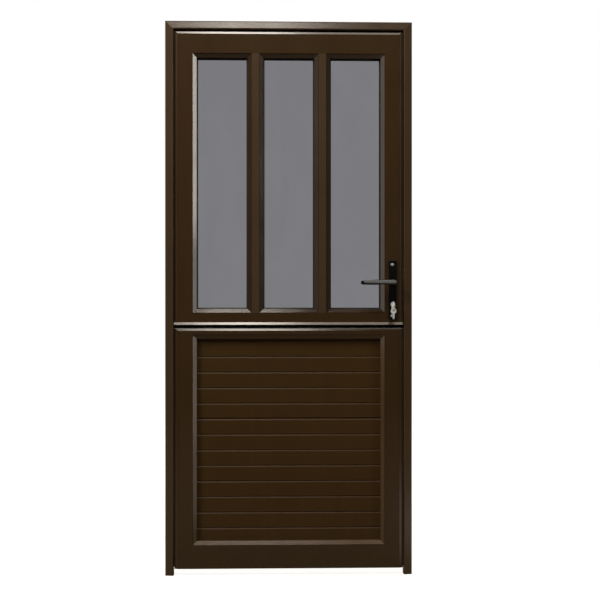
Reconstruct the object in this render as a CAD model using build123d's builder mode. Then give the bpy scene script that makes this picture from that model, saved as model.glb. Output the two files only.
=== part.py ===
from build123d import *
import os

# Dutch stable door in its frame, in millimetres.
# X runs to the right across the door, Y to the rear, Z up from the floor.
# Y = 0 is the mid-plane of the leaves, and the leaves open to the rear.

# Frame: hollow extrusion with a face that falls back towards its outer edge
frame_width = 950
frame_height = 2130
frame_face_width = 32
frame_depth = 38
frame_wall = 2.2
face_fall_depth = 3.5
frame_edge_bevel_width = 4
frame_arris_radius = 4.5
fixing_radius = 4.25
fixing_access_radius = 8
fixing_end_distance = 240
fixing_count = 4

# Seal between the frame and the rear flange of the leaves
seal_groove_width = 4
seal_groove_depth = 4
seal_clearance = 0.1

# Leaf extrusions
leaf_thickness = 45
leaf_setback_depth = 6
leaf_gap = 8.5
leaf_wall = 2.2
leaf_arris_width = 8
leaf_arris_depth = 3
nib_width = 5.5
nib_thickness = 2
nib_setback_depth = 4.5
shadow_groove_width = 2
shadow_groove_depth = 1.2
flange_overlap_width = 10
flange_thickness = 8
floor_clearance = 24.5
split_height = 948
meeting_gap = 14
stile_width = 63.5
top_rail_height = 82
upper_bottom_rail_height = 46.5
lower_top_rail_height = 23
bottom_rail_height = 89
mullion_width = 30
glazing_leg_width = 20
glazing_leg_thickness = 3

# Corner cleats
cleat_length = 90
cleat_width = 40
cleat_clearance = 0.1

# Glazing
glass_thickness = 6
glass_edge_clearance = 3
gasket_thickness = 3
gasket_lip_width = 4
bead_width = 16
bead_step_depth = 3
bead_lip_width = 1.5
bead_fall_depth = 10
bead_wall = 1.6
mitre_gap = 0.1

# Slats of the lower leaf
slat_spacing = 60.2
slat_thickness = 14
slat_bevel_width = 5
slat_bevel_depth = 2.6
slat_joint_gap = 0.2
slat_wall = 2
tongue_length = 6
tongue_thickness = 5
tongue_clearance = 0.4
panel_packing_height = 3
open_joint_gap = 2.5
open_joint_board = 8

# Weather bar and meeting seal
bar_depth = 5.5
bar_height = 10.5
bar_fall_height = 9
bar_groove_width = 2
bar_hinge_end_gap = 2
bar_lock_end_gap = 4.5
meeting_seal_width = 7.5
meeting_seal_end_gap = 1
meeting_seal_base_thickness = 1.2
meeting_seal_fin_thickness = 3
meeting_seal_edge_thickness = 1
meeting_seal_clearance = 0.3

# Hinges
hinge_radius = 8
hinge_offset = 1.5
hinge_clearance = 1
hinge_end_distance = 150
knuckle_height = 30
knuckle_clearance = 0.3
pin_radius = 4
pin_clearance = 0.02
pin_running_clearance = 0.06
pin_head_radius = 6.5
pin_head_height = 3
wing_thickness = 4
frame_wing_height = 124
frame_wing_margin = 1
leaf_wing_height = 84
leaf_wing_width = 34
wing_corner_radius = 5

# Screws
screw_radius = 2.1
screw_head_radius = 4
screw_head_height = 2
screw_length = 8
screw_clearance = 0.05
frame_wing_screw_margin = 8
leaf_wing_screw_spacing = 28

# Lock in the upper leaf
backset_distance = 34
lock_offset = -4
plate_gap = 3.5
cylinder_spacing = 85
case_depth = 52
case_thickness = 15
case_wall = 1.5
case_top_distance = 50
case_bottom_distance = 28
forend_thickness = 2
forend_width = 20
forend_top_distance = 92
forend_bottom_distance = 145
follower_radius = 9
running_clearance = 0.06
spindle_width = 8
spindle_clearance = 0.02
latch_distance = 26
latch_height = 22
latch_thickness = 12
latch_throw_length = 11
latch_head_length = 26
latch_tail_length = 25
latch_tail_height = 12
latch_tail_thickness = 8
latch_nose_thickness = 3
deadbolt_distance = 42
deadbolt_height = 28
deadbolt_thickness = 12
deadbolt_length = 34
deadbolt_recess_depth = 0.3
bolt_clearance = 0.3
strike_thickness = 1.5
strike_width = 24
strike_margin = 14

# Handle set
plate_width = 31
plate_thickness = 8
plate_top_distance = 83
plate_bottom_distance = 144
plate_corner_radius = 6
plate_edge_radius = 2.5
plate_screw_margin = 15
plate_bolt_radius = 2.5
plate_bolt_head_radius = 4.5
plate_bolt_head_height = 2.5
lever_neck_radius = 9
lever_stand_off_distance = 38
lever_grip_thickness = 13
lever_root_radius = 10
lever_tip_radius = 8.5
lever_length = 115
lever_edge_radius = 6
collar_radius = 12.5
collar_height = 3

# Profile cylinder and keys
cylinder_radius = 8.5
cylinder_lobe_width = 10
cylinder_drop_height = 24.5
cylinder_proud_depth = 3
cylinder_clearance = 0.3
plug_radius = 6.5
plug_depth = 28
key_blade_height = 8
key_blade_thickness = 2.2
key_blade_length = 26
key_slot_clearance = 0.1
key_neck_length = 7
tooth_spacing = 3.2
tooth_depths = [1.2, 2.1, 0.9, 1.7, 1.4]
bow_radius = 11
bow_hole_radius = 5
bow_hole_offset = 4
ring_wire_radius = 0.9
ring_radius = 8
ring_turn = 45
spare_blade_length = 21
spare_clearance = 1.2

# Barrel bolts at the rear of the lower leaf
barrel_radius = 8.5
barrel_bore_clearance = 0.1
bolt_plate_thickness = 2.5
bolt_plate_width = 34
bolt_body_length = 78
rod_radius = 5
rod_length = 92
joining_travel_length = 25
jamb_bolt_travel_length = 20
rod_rest_gap = 2
knob_stem_radius = 2.5
knob_radius = 6.5
knob_height = 12
slot_clearance = 0.5
bolt_screw_margin = 8
keeper_length = 15
keeper_clearance = 0.5
keeper_flange_width = 13
keeper_gap = 2.5
jamb_bolt_height = 610

# One overrun serves every cut
overrun = 2
quarter_turn = 90

# Places that follow from the sizes
frame_half = frame_width / 2
opening_half = frame_half - frame_face_width
opening_top = frame_height - frame_face_width
leaf_half = opening_half - leaf_gap
leaf_front = -leaf_thickness / 2
leaf_rear = leaf_thickness / 2
frame_front = leaf_front - leaf_setback_depth
frame_rear = frame_front + frame_depth
flange_reach = leaf_gap + flange_overlap_width
upper_top = opening_top - leaf_gap
upper_bottom = split_height + meeting_gap
lower_top = split_height
lower_bottom = floor_clearance
stile_inner = leaf_half - stile_width
glass_top = upper_top - top_rail_height
glass_bottom = upper_bottom + upper_bottom_rail_height
panel_top = lower_top - lower_top_rail_height
panel_bottom = lower_bottom + bottom_rail_height
bay_width = (2 * stile_inner - 2 * mullion_width) / 3
mullion_centre = (bay_width + mullion_width) / 2
bay_centre = bay_width + mullion_width
seal_gap = leaf_rear - flange_thickness - frame_rear
leg_front = leaf_rear - glazing_leg_thickness
glass_rear = leg_front - gasket_thickness
glass_front = glass_rear - glass_thickness
bead_rear = glass_front - gasket_thickness
slat_front = leg_front - slat_thickness
hinge_x = -(leaf_half + flange_reach + hinge_clearance + hinge_radius)
hinge_y = leaf_rear + hinge_offset
upper_hinge_heights = [upper_top - hinge_end_distance, upper_bottom + hinge_end_distance]
lower_hinge_heights = [lower_top - hinge_end_distance, lower_bottom + hinge_end_distance]
lock_x = leaf_half - backset_distance
keeper_top = upper_bottom + keeper_gap + keeper_length
lever_height = keeper_top + plate_gap + plate_bottom_distance
cylinder_height = lever_height - cylinder_spacing
latch_z = lever_height + latch_distance
deadbolt_z = lever_height - deadbolt_distance
forend_face = leaf_half + forend_thickness
trim_depth = frame_depth + leaf_thickness
bolt_axis_y = leaf_rear + bolt_plate_thickness + barrel_radius


# Shared ways of drawing

def edge_plane(side, half, bottom, top, front, centre=0):
    """Plane at the start of a straight member: x runs inwards from its outer edge, y to the rear."""
    starts = {
        "left": ((centre - half, front, bottom), (1, 0, 0), (0, 0, 1)),
        "right": ((centre + half, front, top), (-1, 0, 0), (0, 0, -1)),
        "top": ((centre - half, front, top), (0, 0, -1), (1, 0, 0)),
        "bottom": ((centre + half, front, bottom), (0, 0, 1), (-1, 0, 0)),
    }
    origin, inwards, along = starts[side]
    return Plane(origin=origin, x_dir=inwards, z_dir=along)


def front_view(depth):
    """Upright plane at a depth, seen from the front, with x to the right and y up."""
    return Plane.XZ.offset(-depth)


def rectangle_between(x0, y0, x1, y1, mode=Mode.ADD):
    """Rectangle between two opposite corners."""
    Polygon([(x0, y0), (x1, y0), (x1, y1), (x0, y1)], mode=mode)


def trim_front(points):
    """Keep only what lies inside an outline drawn on the front view."""
    with BuildSketch(Plane.XZ) as outline:
        Polygon(points)
    extrude(outline.sketch, amount=trim_depth, both=True, mode=Mode.INTERSECT)


def mirrored(points):
    """The points followed by their mirror images across the door, in order round the outline."""
    return points + [(-x, z) for x, z in reversed(points)]


def cut_box(x0, y0, z0, x1, y1, z1):
    """Cut away the box between two opposite corners."""
    centre = ((x0 + x1) / 2, (y0 + y1) / 2, (z0 + z1) / 2)
    with Locations(centre):
        Box(x1 - x0, y1 - y0, z1 - z0, mode=Mode.SUBTRACT)


def drill_along_y(points, radius, length):
    """Cut round holes along Y, centred on the given points."""
    with Locations(*points):
        Cylinder(radius, length, rotation=(quarter_turn, 0, 0), mode=Mode.SUBTRACT)


def drill_screw_holes(points):
    """Cut the holes of pan-head screws along Y."""
    drill_along_y(points, screw_radius + screw_clearance, 2 * screw_length)


def cut_bolt_mouths(x0, x1, growth):
    """Cut the mouths of the latch and the deadbolt through an upright wall."""
    for height, middle, thickness in (
        (latch_height, latch_z, latch_thickness),
        (deadbolt_height, deadbolt_z, deadbolt_thickness),
    ):
        half_height = height / 2 + growth
        half_thickness = thickness / 2 + growth
        cut_box(
            x0, lock_offset - half_thickness, middle - half_height,
            x1, lock_offset + half_thickness, middle + half_height,
        )


def pan_screws(points, turn):
    """Pan-head screws with the undersides of their heads at the points, shanks turned by an angle."""
    for point in points:
        with Locations(Location(point, turn)):
            Cylinder(screw_head_radius, screw_head_height, align=(Align.CENTER, Align.CENTER, Align.MIN))
            Cylinder(screw_radius, screw_length, align=(Align.CENTER, Align.CENTER, Align.MAX))


# Frame

def frame_section():
    """Hollow frame profile: sloped face, bevelled outer edge, rear pad with the seal groove."""
    pad_front = frame_depth - seal_groove_depth
    groove_inner = frame_face_width - (flange_overlap_width - seal_groove_width) / 2
    groove_outer = groove_inner - seal_groove_width
    Polygon([
        (0, face_fall_depth + frame_edge_bevel_width),
        (frame_edge_bevel_width, face_fall_depth),
        (frame_face_width, 0),
        (frame_face_width, pad_front),
        (0, pad_front),
    ])
    fillet(vertices().sort_by(Axis.Y)[0], radius=frame_arris_radius)
    offset(amount=-frame_wall, kind=Kind.INTERSECTION, mode=Mode.SUBTRACT)
    rectangle_between(0, pad_front, groove_outer, frame_depth)
    rectangle_between(groove_inner, pad_front, frame_face_width, frame_depth)


def fixing_heights():
    """Heights of the fixing holes up a jamb."""
    spacing = (frame_height - 2 * fixing_end_distance) / (fixing_count - 1)
    return [fixing_end_distance + spacing * step for step in range(fixing_count)]


def fixing_depth():
    """Depth of the fixing holes: the middle of the chamber, behind the front of the leaf."""
    return (leaf_front + frame_rear) / 2


def drill_fixings(side):
    """Fixing holes out through the jamb, with a wider access hole in its inner wall."""
    outer_x = side * frame_half
    inner_x = side * opening_half
    points = [(fixing_depth(), height) for height in fixing_heights()]
    with Locations(*[(outer_x, y, z) for y, z in points]):
        Cylinder(fixing_radius, frame_face_width, rotation=(0, quarter_turn, 0), mode=Mode.SUBTRACT)
    with Locations(*[(inner_x, y, z) for y, z in points]):
        Cylinder(fixing_access_radius, frame_face_width, rotation=(0, quarter_turn, 0), mode=Mode.SUBTRACT)


def frame_wing_screw_points(heights):
    """Screw places on the frame wings, at the top and bottom of each."""
    reach = frame_wing_height / 2 - frame_wing_screw_margin
    ends = [height + step * reach for height in heights for step in (-1, 1)]
    return [(hinge_x, frame_rear + wing_thickness, z) for z in ends]


def jamb_keeper_screw_points():
    """Screw places on the jamb keeper's flanges."""
    reach = barrel_radius + keeper_flange_width / 2
    return [(jamb_keeper_x, frame_rear + bolt_plate_thickness, jamb_bolt_height + step * reach)
            for step in (-1, 1)]


jamb_keeper_x = leaf_half + flange_reach + keeper_gap + keeper_length / 2 + hinge_clearance
all_hinge_heights = upper_hinge_heights + lower_hinge_heights
jamb_length_outline = [
    (frame_half, 0),
    (frame_half, frame_height),
    (opening_half, opening_top),
    (opening_half, 0),
]

with BuildPart() as jamb_hinge_side:
    with BuildSketch(edge_plane("left", frame_half, 0, frame_height, frame_front)):
        frame_section()
    extrude(amount=frame_height)
    trim_front([(-x, z) for x, z in jamb_length_outline])
    drill_fixings(-1)
    drill_screw_holes(frame_wing_screw_points(all_hinge_heights))

with BuildPart() as jamb_lock_side:
    with BuildSketch(edge_plane("right", frame_half, 0, frame_height, frame_front)):
        frame_section()
    extrude(amount=frame_height)
    trim_front(jamb_length_outline)
    drill_fixings(1)
    drill_screw_holes(jamb_keeper_screw_points())
    cut_bolt_mouths(opening_half - overrun, opening_half + frame_wall + overrun, 2 * bolt_clearance)

with BuildPart() as head:
    with BuildSketch(edge_plane("top", frame_half, 0, frame_height, frame_front)):
        frame_section()
    extrude(amount=frame_width)
    trim_front(mirrored([(frame_half, frame_height), (opening_half, opening_top)]))


def corner_cleat(outer_x, outer_z, side, width, reach, front, rear):
    """L-shaped block in a top corner, from its outer corner in by a width and along by a reach."""
    points = [
        (outer_x, outer_z),
        (outer_x - reach, outer_z),
        (outer_x - reach, outer_z - width),
        (outer_x - width, outer_z - width),
        (outer_x - width, outer_z - reach),
        (outer_x, outer_z - reach),
    ]
    with BuildSketch(front_view(front)) as block:
        Polygon([(side * x, z) for x, z in points])
    extrude(block.sketch, amount=front - rear)


with BuildPart() as frame_corner_cleats:
    for side in (-1, 1):
        corner_cleat(
            frame_half - frame_wall - cleat_clearance,
            frame_height - frame_wall - cleat_clearance,
            side,
            frame_face_width - 2 * (frame_wall + cleat_clearance),
            cleat_length,
            frame_front + face_fall_depth + frame_edge_bevel_width + frame_wall,
            frame_rear - seal_groove_depth - frame_wall - cleat_clearance,
        )


def frame_seal_section():
    """Seal with a root in the groove and a round bulb behind the frame."""
    bulb_radius = (seal_gap - bolt_clearance) / 2
    middle = frame_face_width - flange_overlap_width / 2
    root_half = seal_groove_width / 2 - seal_clearance
    root_top = frame_depth + bulb_radius
    root_foot = frame_depth - seal_groove_depth + seal_clearance
    rectangle_between(middle - root_half, root_foot, middle + root_half, root_top)
    with Locations((middle, frame_depth + bulb_radius)):
        Circle(bulb_radius)


def seal_bar(side, length, outline):
    """One length of frame seal, mitred where it meets its neighbour."""
    with BuildPart() as bar:
        with BuildSketch(edge_plane(side, frame_half, 0, frame_height, frame_front)):
            frame_seal_section()
        extrude(amount=length)
        trim_front(outline)
    return bar.part


seal_jamb_outline = [
    (frame_half, 0),
    (frame_half, frame_height - mitre_gap),
    (opening_half, opening_top - mitre_gap),
    (opening_half, 0),
]
seal_head_outline = mirrored([
    (frame_half - mitre_gap, frame_height),
    (opening_half - mitre_gap, opening_top),
])
seal_bars = [
    seal_bar("left", frame_height, [(-x, z) for x, z in seal_jamb_outline]),
    seal_bar("right", frame_height, seal_jamb_outline),
    seal_bar("top", frame_width, seal_head_outline),
]
with BuildPart() as frame_seals:
    add(seal_bars)


# Leaf extrusions

def leaf_section(width, arris, flange, nib=0):
    """Hollow leaf profile: arris, shadow groove, cover nib and rear flange outside, glazing leg inside."""
    if arris > 0:
        Polygon([(0, leaf_arris_depth), (arris, 0), (width, 0), (width, leaf_thickness), (0, leaf_thickness)])
    else:
        rectangle_between(0, 0, width, leaf_thickness)
    offset(amount=-leaf_wall, kind=Kind.INTERSECTION, mode=Mode.SUBTRACT)
    leg_top = leaf_thickness - glazing_leg_thickness
    rectangle_between(width - leaf_wall, leg_top, width + glazing_leg_width, leaf_thickness)
    if flange > 0:
        rectangle_between(-flange, leaf_thickness - flange_thickness, leaf_wall, leaf_thickness)
    if nib > 0:
        rectangle_between(-nib, nib_setback_depth, leaf_wall, nib_setback_depth + nib_thickness)
    if arris > 0:
        rectangle_between(arris, 0, arris + shadow_groove_width, shadow_groove_depth, mode=Mode.SUBTRACT)


def top_joint(top, rail):
    """Joint line at a top corner, right side: mitred from the corner, then square, then across the legs."""
    mitre = min(stile_width, rail)
    return [
        (leaf_half - mitre, top - mitre),
        (stile_inner, top - rail),
        (stile_inner - glazing_leg_width, top - rail - glazing_leg_width),
    ]


def bottom_joint(bottom, rail):
    """Joint line at a bottom corner, right side: across the legs, then square to the foot."""
    return [
        (stile_inner - glazing_leg_width, bottom + rail + glazing_leg_width),
        (stile_inner, bottom + rail),
        (stile_inner, bottom),
    ]


def stile_outline(bottom, top, bottom_rail, top_rail, top_flange):
    """Front outline of a right-hand stile."""
    outer = leaf_half + flange_reach
    corner = [(outer, bottom), (outer, top + top_flange), (leaf_half, top)]
    return corner + top_joint(top, top_rail) + bottom_joint(bottom, bottom_rail)


def top_rail_outline(top, rail, flange):
    """Front outline of a top rail."""
    return mirrored([(leaf_half + flange, top + flange)] + top_joint(top, rail))


def bottom_rail_outline(bottom, rail):
    """Front outline of a bottom rail."""
    return mirrored(bottom_joint(bottom, rail))


def leaf_wing_left():
    """Left edge of the leaf wings' plates."""
    return hinge_x + hinge_radius + hinge_clearance


def leaf_wing_screw_points(heights):
    """Screw places on the leaf wings, three to a wing."""
    x = leaf_wing_left() + leaf_wing_width / 2
    rows = [height + step * leaf_wing_screw_spacing for height in heights for step in (-1, 0, 1)]
    return [(x, leaf_rear + wing_thickness, z) for z in rows]


def cylinder_profile(growth):
    """Profile of a lock cylinder, round above and lobed below, grown by a clearance."""
    with Locations((lock_x, cylinder_height)):
        Circle(cylinder_radius + growth)
    lobe_end = cylinder_height - cylinder_drop_height + cylinder_lobe_width / 2
    half_lobe = cylinder_lobe_width / 2 + growth
    rectangle_between(lock_x - half_lobe, lobe_end, lock_x + half_lobe, cylinder_height)
    with Locations((lock_x, lobe_end)):
        Circle(half_lobe)


def cut_cylinder_hole():
    """Cut the lock cylinder's hole through a leaf, plate or case."""
    with BuildSketch(Plane.XZ) as hole:
        cylinder_profile(cylinder_clearance)
    extrude(hole.sketch, amount=trim_depth, both=True, mode=Mode.SUBTRACT)


def plate_bolt_points():
    """Places of the bolts that pass through both back plates."""
    top = lever_height + plate_top_distance - plate_screw_margin
    bottom = lever_height - plate_bottom_distance + plate_screw_margin
    return [(lock_x, 0, top), (lock_x, 0, bottom)]


def joining_keeper_middle():
    """Height of the middle of the keeper above the meeting gap."""
    return upper_bottom + keeper_gap + keeper_length / 2


def joining_keeper_screw_points():
    """Screw places on the joining keeper's flanges."""
    reach = barrel_radius + keeper_flange_width / 2
    z = joining_keeper_middle()
    return [(lock_x + step * reach, leaf_rear + bolt_plate_thickness, z) for step in (-1, 1)]


def joining_body_top():
    """Top of the upright bolt's body."""
    return lower_top - keeper_gap


def jamb_body_end():
    """Lock-side end of the level bolt's body."""
    return leaf_half + flange_reach - keeper_gap


def bolt_screw_offsets():
    """Screw places on a bolt's plate, along it from its outer end and across it."""
    ends = (bolt_screw_margin, bolt_body_length - bolt_screw_margin)
    across = (bolt_plate_width - bolt_screw_margin) / 2
    return [(along, step * across) for along in ends for step in (-1, 1)]


def bolt_screw_points():
    """Screw places on the plates of both bolts."""
    y = leaf_rear + bolt_plate_thickness
    offsets = bolt_screw_offsets()
    upright = [(lock_x + across, y, joining_body_top() - along) for along, across in offsets]
    level = [(jamb_body_end() - along, y, jamb_bolt_height + across) for along, across in offsets]
    return upright + level


upper_length = upper_top + flange_reach - upper_bottom
lower_length = lower_top - lower_bottom
outer_half = leaf_half + flange_reach
upper_stile_outline = stile_outline(
    upper_bottom, upper_top, upper_bottom_rail_height, top_rail_height, flange_reach)
lower_stile_outline = stile_outline(
    lower_bottom, lower_top, bottom_rail_height, lower_top_rail_height, 0)

with BuildPart() as upper_hinge_stile:
    with BuildSketch(edge_plane("left", leaf_half, upper_bottom, upper_top, leaf_front)):
        leaf_section(stile_width, leaf_arris_width, flange_reach, nib_width)
    extrude(amount=upper_length)
    trim_front([(-x, z) for x, z in upper_stile_outline])
    drill_screw_holes(leaf_wing_screw_points(upper_hinge_heights))

with BuildPart() as upper_lock_stile:
    with BuildSketch(edge_plane("right", leaf_half, upper_bottom, upper_top + flange_reach, leaf_front)):
        leaf_section(stile_width, leaf_arris_width, flange_reach, nib_width)
    extrude(amount=upper_length)
    trim_front(upper_stile_outline)
    cut_cylinder_hole()
    drill_along_y([(lock_x, 0, lever_height)], lever_neck_radius, trim_depth)
    drill_along_y(plate_bolt_points(), plate_bolt_radius + screw_clearance, trim_depth)
    drill_screw_holes(joining_keeper_screw_points())
    cut_box(
        leaf_half - leaf_wall - overrun,
        lock_offset - case_thickness / 2 - cleat_clearance,
        cylinder_height - case_bottom_distance - cleat_clearance,
        leaf_half + overrun,
        lock_offset + case_thickness / 2 + cleat_clearance,
        lever_height + case_top_distance + cleat_clearance,
    )

with BuildPart() as upper_top_rail:
    with BuildSketch(edge_plane("top", outer_half, upper_bottom, upper_top, leaf_front)):
        leaf_section(top_rail_height, leaf_arris_width, flange_reach)
    extrude(amount=2 * outer_half)
    trim_front(top_rail_outline(upper_top, top_rail_height, flange_reach))

with BuildPart() as upper_bottom_rail:
    with BuildSketch(edge_plane("bottom", leaf_half, upper_bottom, upper_top, leaf_front)):
        leaf_section(upper_bottom_rail_height, 0, 0)
    extrude(amount=2 * leaf_half)
    trim_front(bottom_rail_outline(upper_bottom, upper_bottom_rail_height))

with BuildPart() as lower_hinge_stile:
    with BuildSketch(edge_plane("left", leaf_half, lower_bottom, lower_top, leaf_front)):
        leaf_section(stile_width, leaf_arris_width, flange_reach, nib_width)
    extrude(amount=lower_length)
    trim_front([(-x, z) for x, z in lower_stile_outline])
    drill_screw_holes(leaf_wing_screw_points(lower_hinge_heights))

with BuildPart() as lower_lock_stile:
    with BuildSketch(edge_plane("right", leaf_half, lower_bottom, lower_top, leaf_front)):
        leaf_section(stile_width, leaf_arris_width, flange_reach, nib_width)
    extrude(amount=lower_length)
    trim_front(lower_stile_outline)
    drill_screw_holes(bolt_screw_points())

with BuildPart() as lower_top_rail:
    with BuildSketch(edge_plane("top", leaf_half, lower_bottom, lower_top, leaf_front)):
        leaf_section(lower_top_rail_height, leaf_arris_width, 0)
    extrude(amount=2 * leaf_half)
    trim_front(top_rail_outline(lower_top, lower_top_rail_height, 0))
    drill_screw_holes(bolt_screw_points())

with BuildPart() as lower_bottom_rail:
    with BuildSketch(edge_plane("bottom", leaf_half, lower_bottom, lower_top, leaf_front)):
        leaf_section(bottom_rail_height, 0, 0)
    extrude(amount=2 * leaf_half)
    trim_front(bottom_rail_outline(lower_bottom, bottom_rail_height))


def mullion(centre):
    """Upright between two panes: a tube between the rails and a rear plate between the rails' legs."""
    with BuildPart() as bar:
        tube_depth = leaf_thickness - glazing_leg_thickness
        half_tube = mullion_width / 2
        half_plate = half_tube + glazing_leg_width
        with BuildSketch(Plane.XY.offset(glass_bottom)):
            rectangle_between(centre - half_tube, leaf_front, centre + half_tube, leaf_front + tube_depth)
            offset(amount=-leaf_wall, kind=Kind.INTERSECTION, mode=Mode.SUBTRACT)
        extrude(amount=glass_top - glass_bottom)
        with BuildSketch(Plane.XY.offset(glass_bottom + glazing_leg_width)):
            rectangle_between(centre - half_plate, leg_front, centre + half_plate, leaf_rear)
        extrude(amount=glass_top - glass_bottom - 2 * glazing_leg_width)
    return bar


mullion_left = mullion(-mullion_centre)
mullion_right = mullion(mullion_centre)


def spigot(side, bottom, height):
    """Block inside the end of a bottom rail, screwed through the stile on the real door."""
    gap = leaf_wall + cleat_clearance
    near = side * stile_inner
    far = side * (stile_inner - cleat_length)
    with BuildSketch(front_view(leaf_front + gap)) as block:
        rectangle_between(near, bottom + gap, far, bottom + height - gap)
    extrude(block.sketch, amount=2 * gap - leaf_thickness)


def leaf_cleats(bottom, top, bottom_rail, width):
    """Two mitre cleats at the top of a leaf and two spigots at its foot."""
    gap = leaf_wall + cleat_clearance
    for side in (-1, 1):
        corner_cleat(
            leaf_half - gap, top - gap, side, width, cleat_length,
            leaf_front + leaf_arris_width + leaf_wall, leaf_rear - gap,
        )
        spigot(side, bottom, bottom_rail)


with BuildPart() as upper_corner_cleats:
    leaf_cleats(upper_bottom, upper_top, upper_bottom_rail_height, cleat_width)

with BuildPart() as lower_corner_cleats:
    thin_rail_chamber = lower_top_rail_height - 2 * (leaf_wall + cleat_clearance)
    leaf_cleats(lower_bottom, lower_top, bottom_rail_height, thin_rail_chamber)
    drill_screw_holes(bolt_screw_points())


# Glazing and beads

def bead_section(depth):
    """Hollow glazing bead with a small lip at the stile and a face that falls towards the glass."""
    Polygon([
        (0, bead_step_depth + bead_lip_width),
        (bead_lip_width, bead_step_depth),
        (bead_width, bead_step_depth + bead_fall_depth),
        (bead_width, depth),
        (0, depth),
    ])
    offset(amount=-bead_wall, kind=Kind.INTERSECTION, mode=Mode.SUBTRACT)


def bead_bars(centre, half, bottom, top, rear):
    """Four beads round an opening, mitred at their ends with a hair gap between them."""
    bars = []
    left, right = centre - half, centre + half
    w = bead_width
    foot = bottom + mitre_gap
    peak = top - mitre_gap
    outlines = {
        "left": [(left, foot), (left + w, foot + w), (left + w, peak - w), (left, peak)],
        "right": [(right, foot), (right - w, foot + w), (right - w, peak - w), (right, peak)],
        "top": [(left, top), (right, top), (right - w, top - w), (left + w, top - w)],
        "bottom": [(left, bottom), (right, bottom), (right - w, bottom + w), (left + w, bottom + w)],
    }
    for side, outline in outlines.items():
        length = top - bottom if side in ("left", "right") else 2 * half
        with BuildPart() as bar:
            with BuildSketch(edge_plane(side, half, bottom, top, leaf_front, centre)):
                bead_section(rear - leaf_front)
            extrude(amount=length)
            trim_front(outline)
        bars.append(bar.part)
    return bars


def glass_pane(centre):
    """One pane, clear of the rebate all round."""
    with BuildPart() as pane:
        with BuildSketch(front_view(glass_front)):
            with Locations((centre, (glass_top + glass_bottom) / 2)):
                Rectangle(
                    bay_width - 2 * glass_edge_clearance,
                    glass_top - glass_bottom - 2 * glass_edge_clearance,
                )
        extrude(amount=-glass_thickness)
    return pane


def gasket_ring(centre, reach):
    """Flat rubber ring round a pane, from the glass edge in to a reach from the rebate."""
    with Locations((centre, (glass_top + glass_bottom) / 2)):
        Rectangle(
            bay_width - 2 * glass_edge_clearance,
            glass_top - glass_bottom - 2 * glass_edge_clearance,
        )
        Rectangle(bay_width - 2 * reach, glass_top - glass_bottom - 2 * reach, mode=Mode.SUBTRACT)


def pane_gaskets(centre):
    """Front and rear gaskets of one pane."""
    with BuildPart() as rings:
        with BuildSketch(front_view(bead_rear)):
            gasket_ring(centre, bead_width + gasket_lip_width)
        extrude(amount=-gasket_thickness)
        with BuildSketch(front_view(glass_rear)):
            gasket_ring(centre, glazing_leg_width)
        extrude(amount=-gasket_thickness)
    return rings


def pane_beads(centre):
    """The four beads in front of one pane."""
    bars = bead_bars(centre, bay_width / 2, glass_bottom, glass_top, bead_rear)
    with BuildPart() as beads:
        add(bars)
    return beads


bay_centres = {"left": -bay_centre, "centre": 0, "right": bay_centre}
glazing = {}
for bay, centre in bay_centres.items():
    glazing[f"glass_{bay}"] = glass_pane(centre)
    glazing[f"gaskets_{bay}"] = pane_gaskets(centre)
    glazing[f"beads_{bay}"] = pane_beads(centre)

panel_bead_bars = bead_bars(0, stile_inner, panel_bottom, panel_top, slat_front)
with BuildPart() as panel_beads:
    add(panel_bead_bars)


# Slats of the lower leaf

def slat_section(bottom, height, tongue):
    """Hollow board with bevelled edges, a groove below and a tongue above."""
    top = bottom + height - slat_joint_gap
    rear = slat_front + slat_thickness
    middle = slat_front + slat_thickness / 2
    half_tongue = tongue_thickness / 2
    half_groove = half_tongue + tongue_clearance
    groove_depth = tongue_length + tongue_clearance
    Polygon([
        (slat_front, bottom + slat_bevel_depth),
        (slat_front, top - slat_bevel_width),
        (slat_front + slat_bevel_depth, top),
        (rear - slat_bevel_depth, top),
        (rear, top - slat_bevel_depth),
        (rear, bottom + slat_bevel_depth),
        (rear - slat_bevel_depth, bottom),
        (slat_front + slat_bevel_depth, bottom),
    ])
    groove_end = bottom + groove_depth
    rectangle_between(middle - half_groove, bottom, middle + half_groove, groove_end, mode=Mode.SUBTRACT)
    if tongue:
        rectangle_between(middle - half_tongue, top, middle + half_tongue, top + tongue_length)
        rectangle_between(
            slat_front + slat_wall, groove_end + slat_wall,
            rear - slat_wall, top - slat_bevel_width - slat_wall,
            mode=Mode.SUBTRACT,
        )


slat_start = panel_bottom + panel_packing_height
slat_end = panel_top - glass_edge_clearance
slat_count = int((slat_end - slat_start) // slat_spacing)
slat_half = stile_inner - glass_edge_clearance

with BuildPart() as slats:
    for board in range(slat_count + 1):
        opening = open_joint_gap if board == open_joint_board else 0
        bottom = slat_start + board * slat_spacing + opening
        whole = board < slat_count
        top = slat_start + (board + 1) * slat_spacing if whole else slat_end
        with BuildSketch(Plane.YZ.offset(-slat_half)):
            slat_section(bottom, top - bottom, whole)
        extrude(amount=2 * slat_half)


# Weather bar and meeting seal

with BuildPart() as weather_bar:
    bar_top = upper_bottom + bar_height
    nose = leaf_front - bar_depth
    groove_middle = leaf_front - bar_depth / 2
    half_groove = bar_groove_width / 2
    with BuildSketch(Plane.YZ.offset(bar_hinge_end_gap - opening_half)):
        Polygon([
            (leaf_front, upper_bottom),
            (leaf_front, bar_top),
            (nose, bar_top - bar_fall_height),
            (nose, upper_bottom),
            (groove_middle - half_groove, upper_bottom),
            (groove_middle, upper_bottom + bar_groove_width),
            (groove_middle + half_groove, upper_bottom),
        ])
    extrude(amount=2 * opening_half - bar_hinge_end_gap - bar_lock_end_gap)

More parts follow.
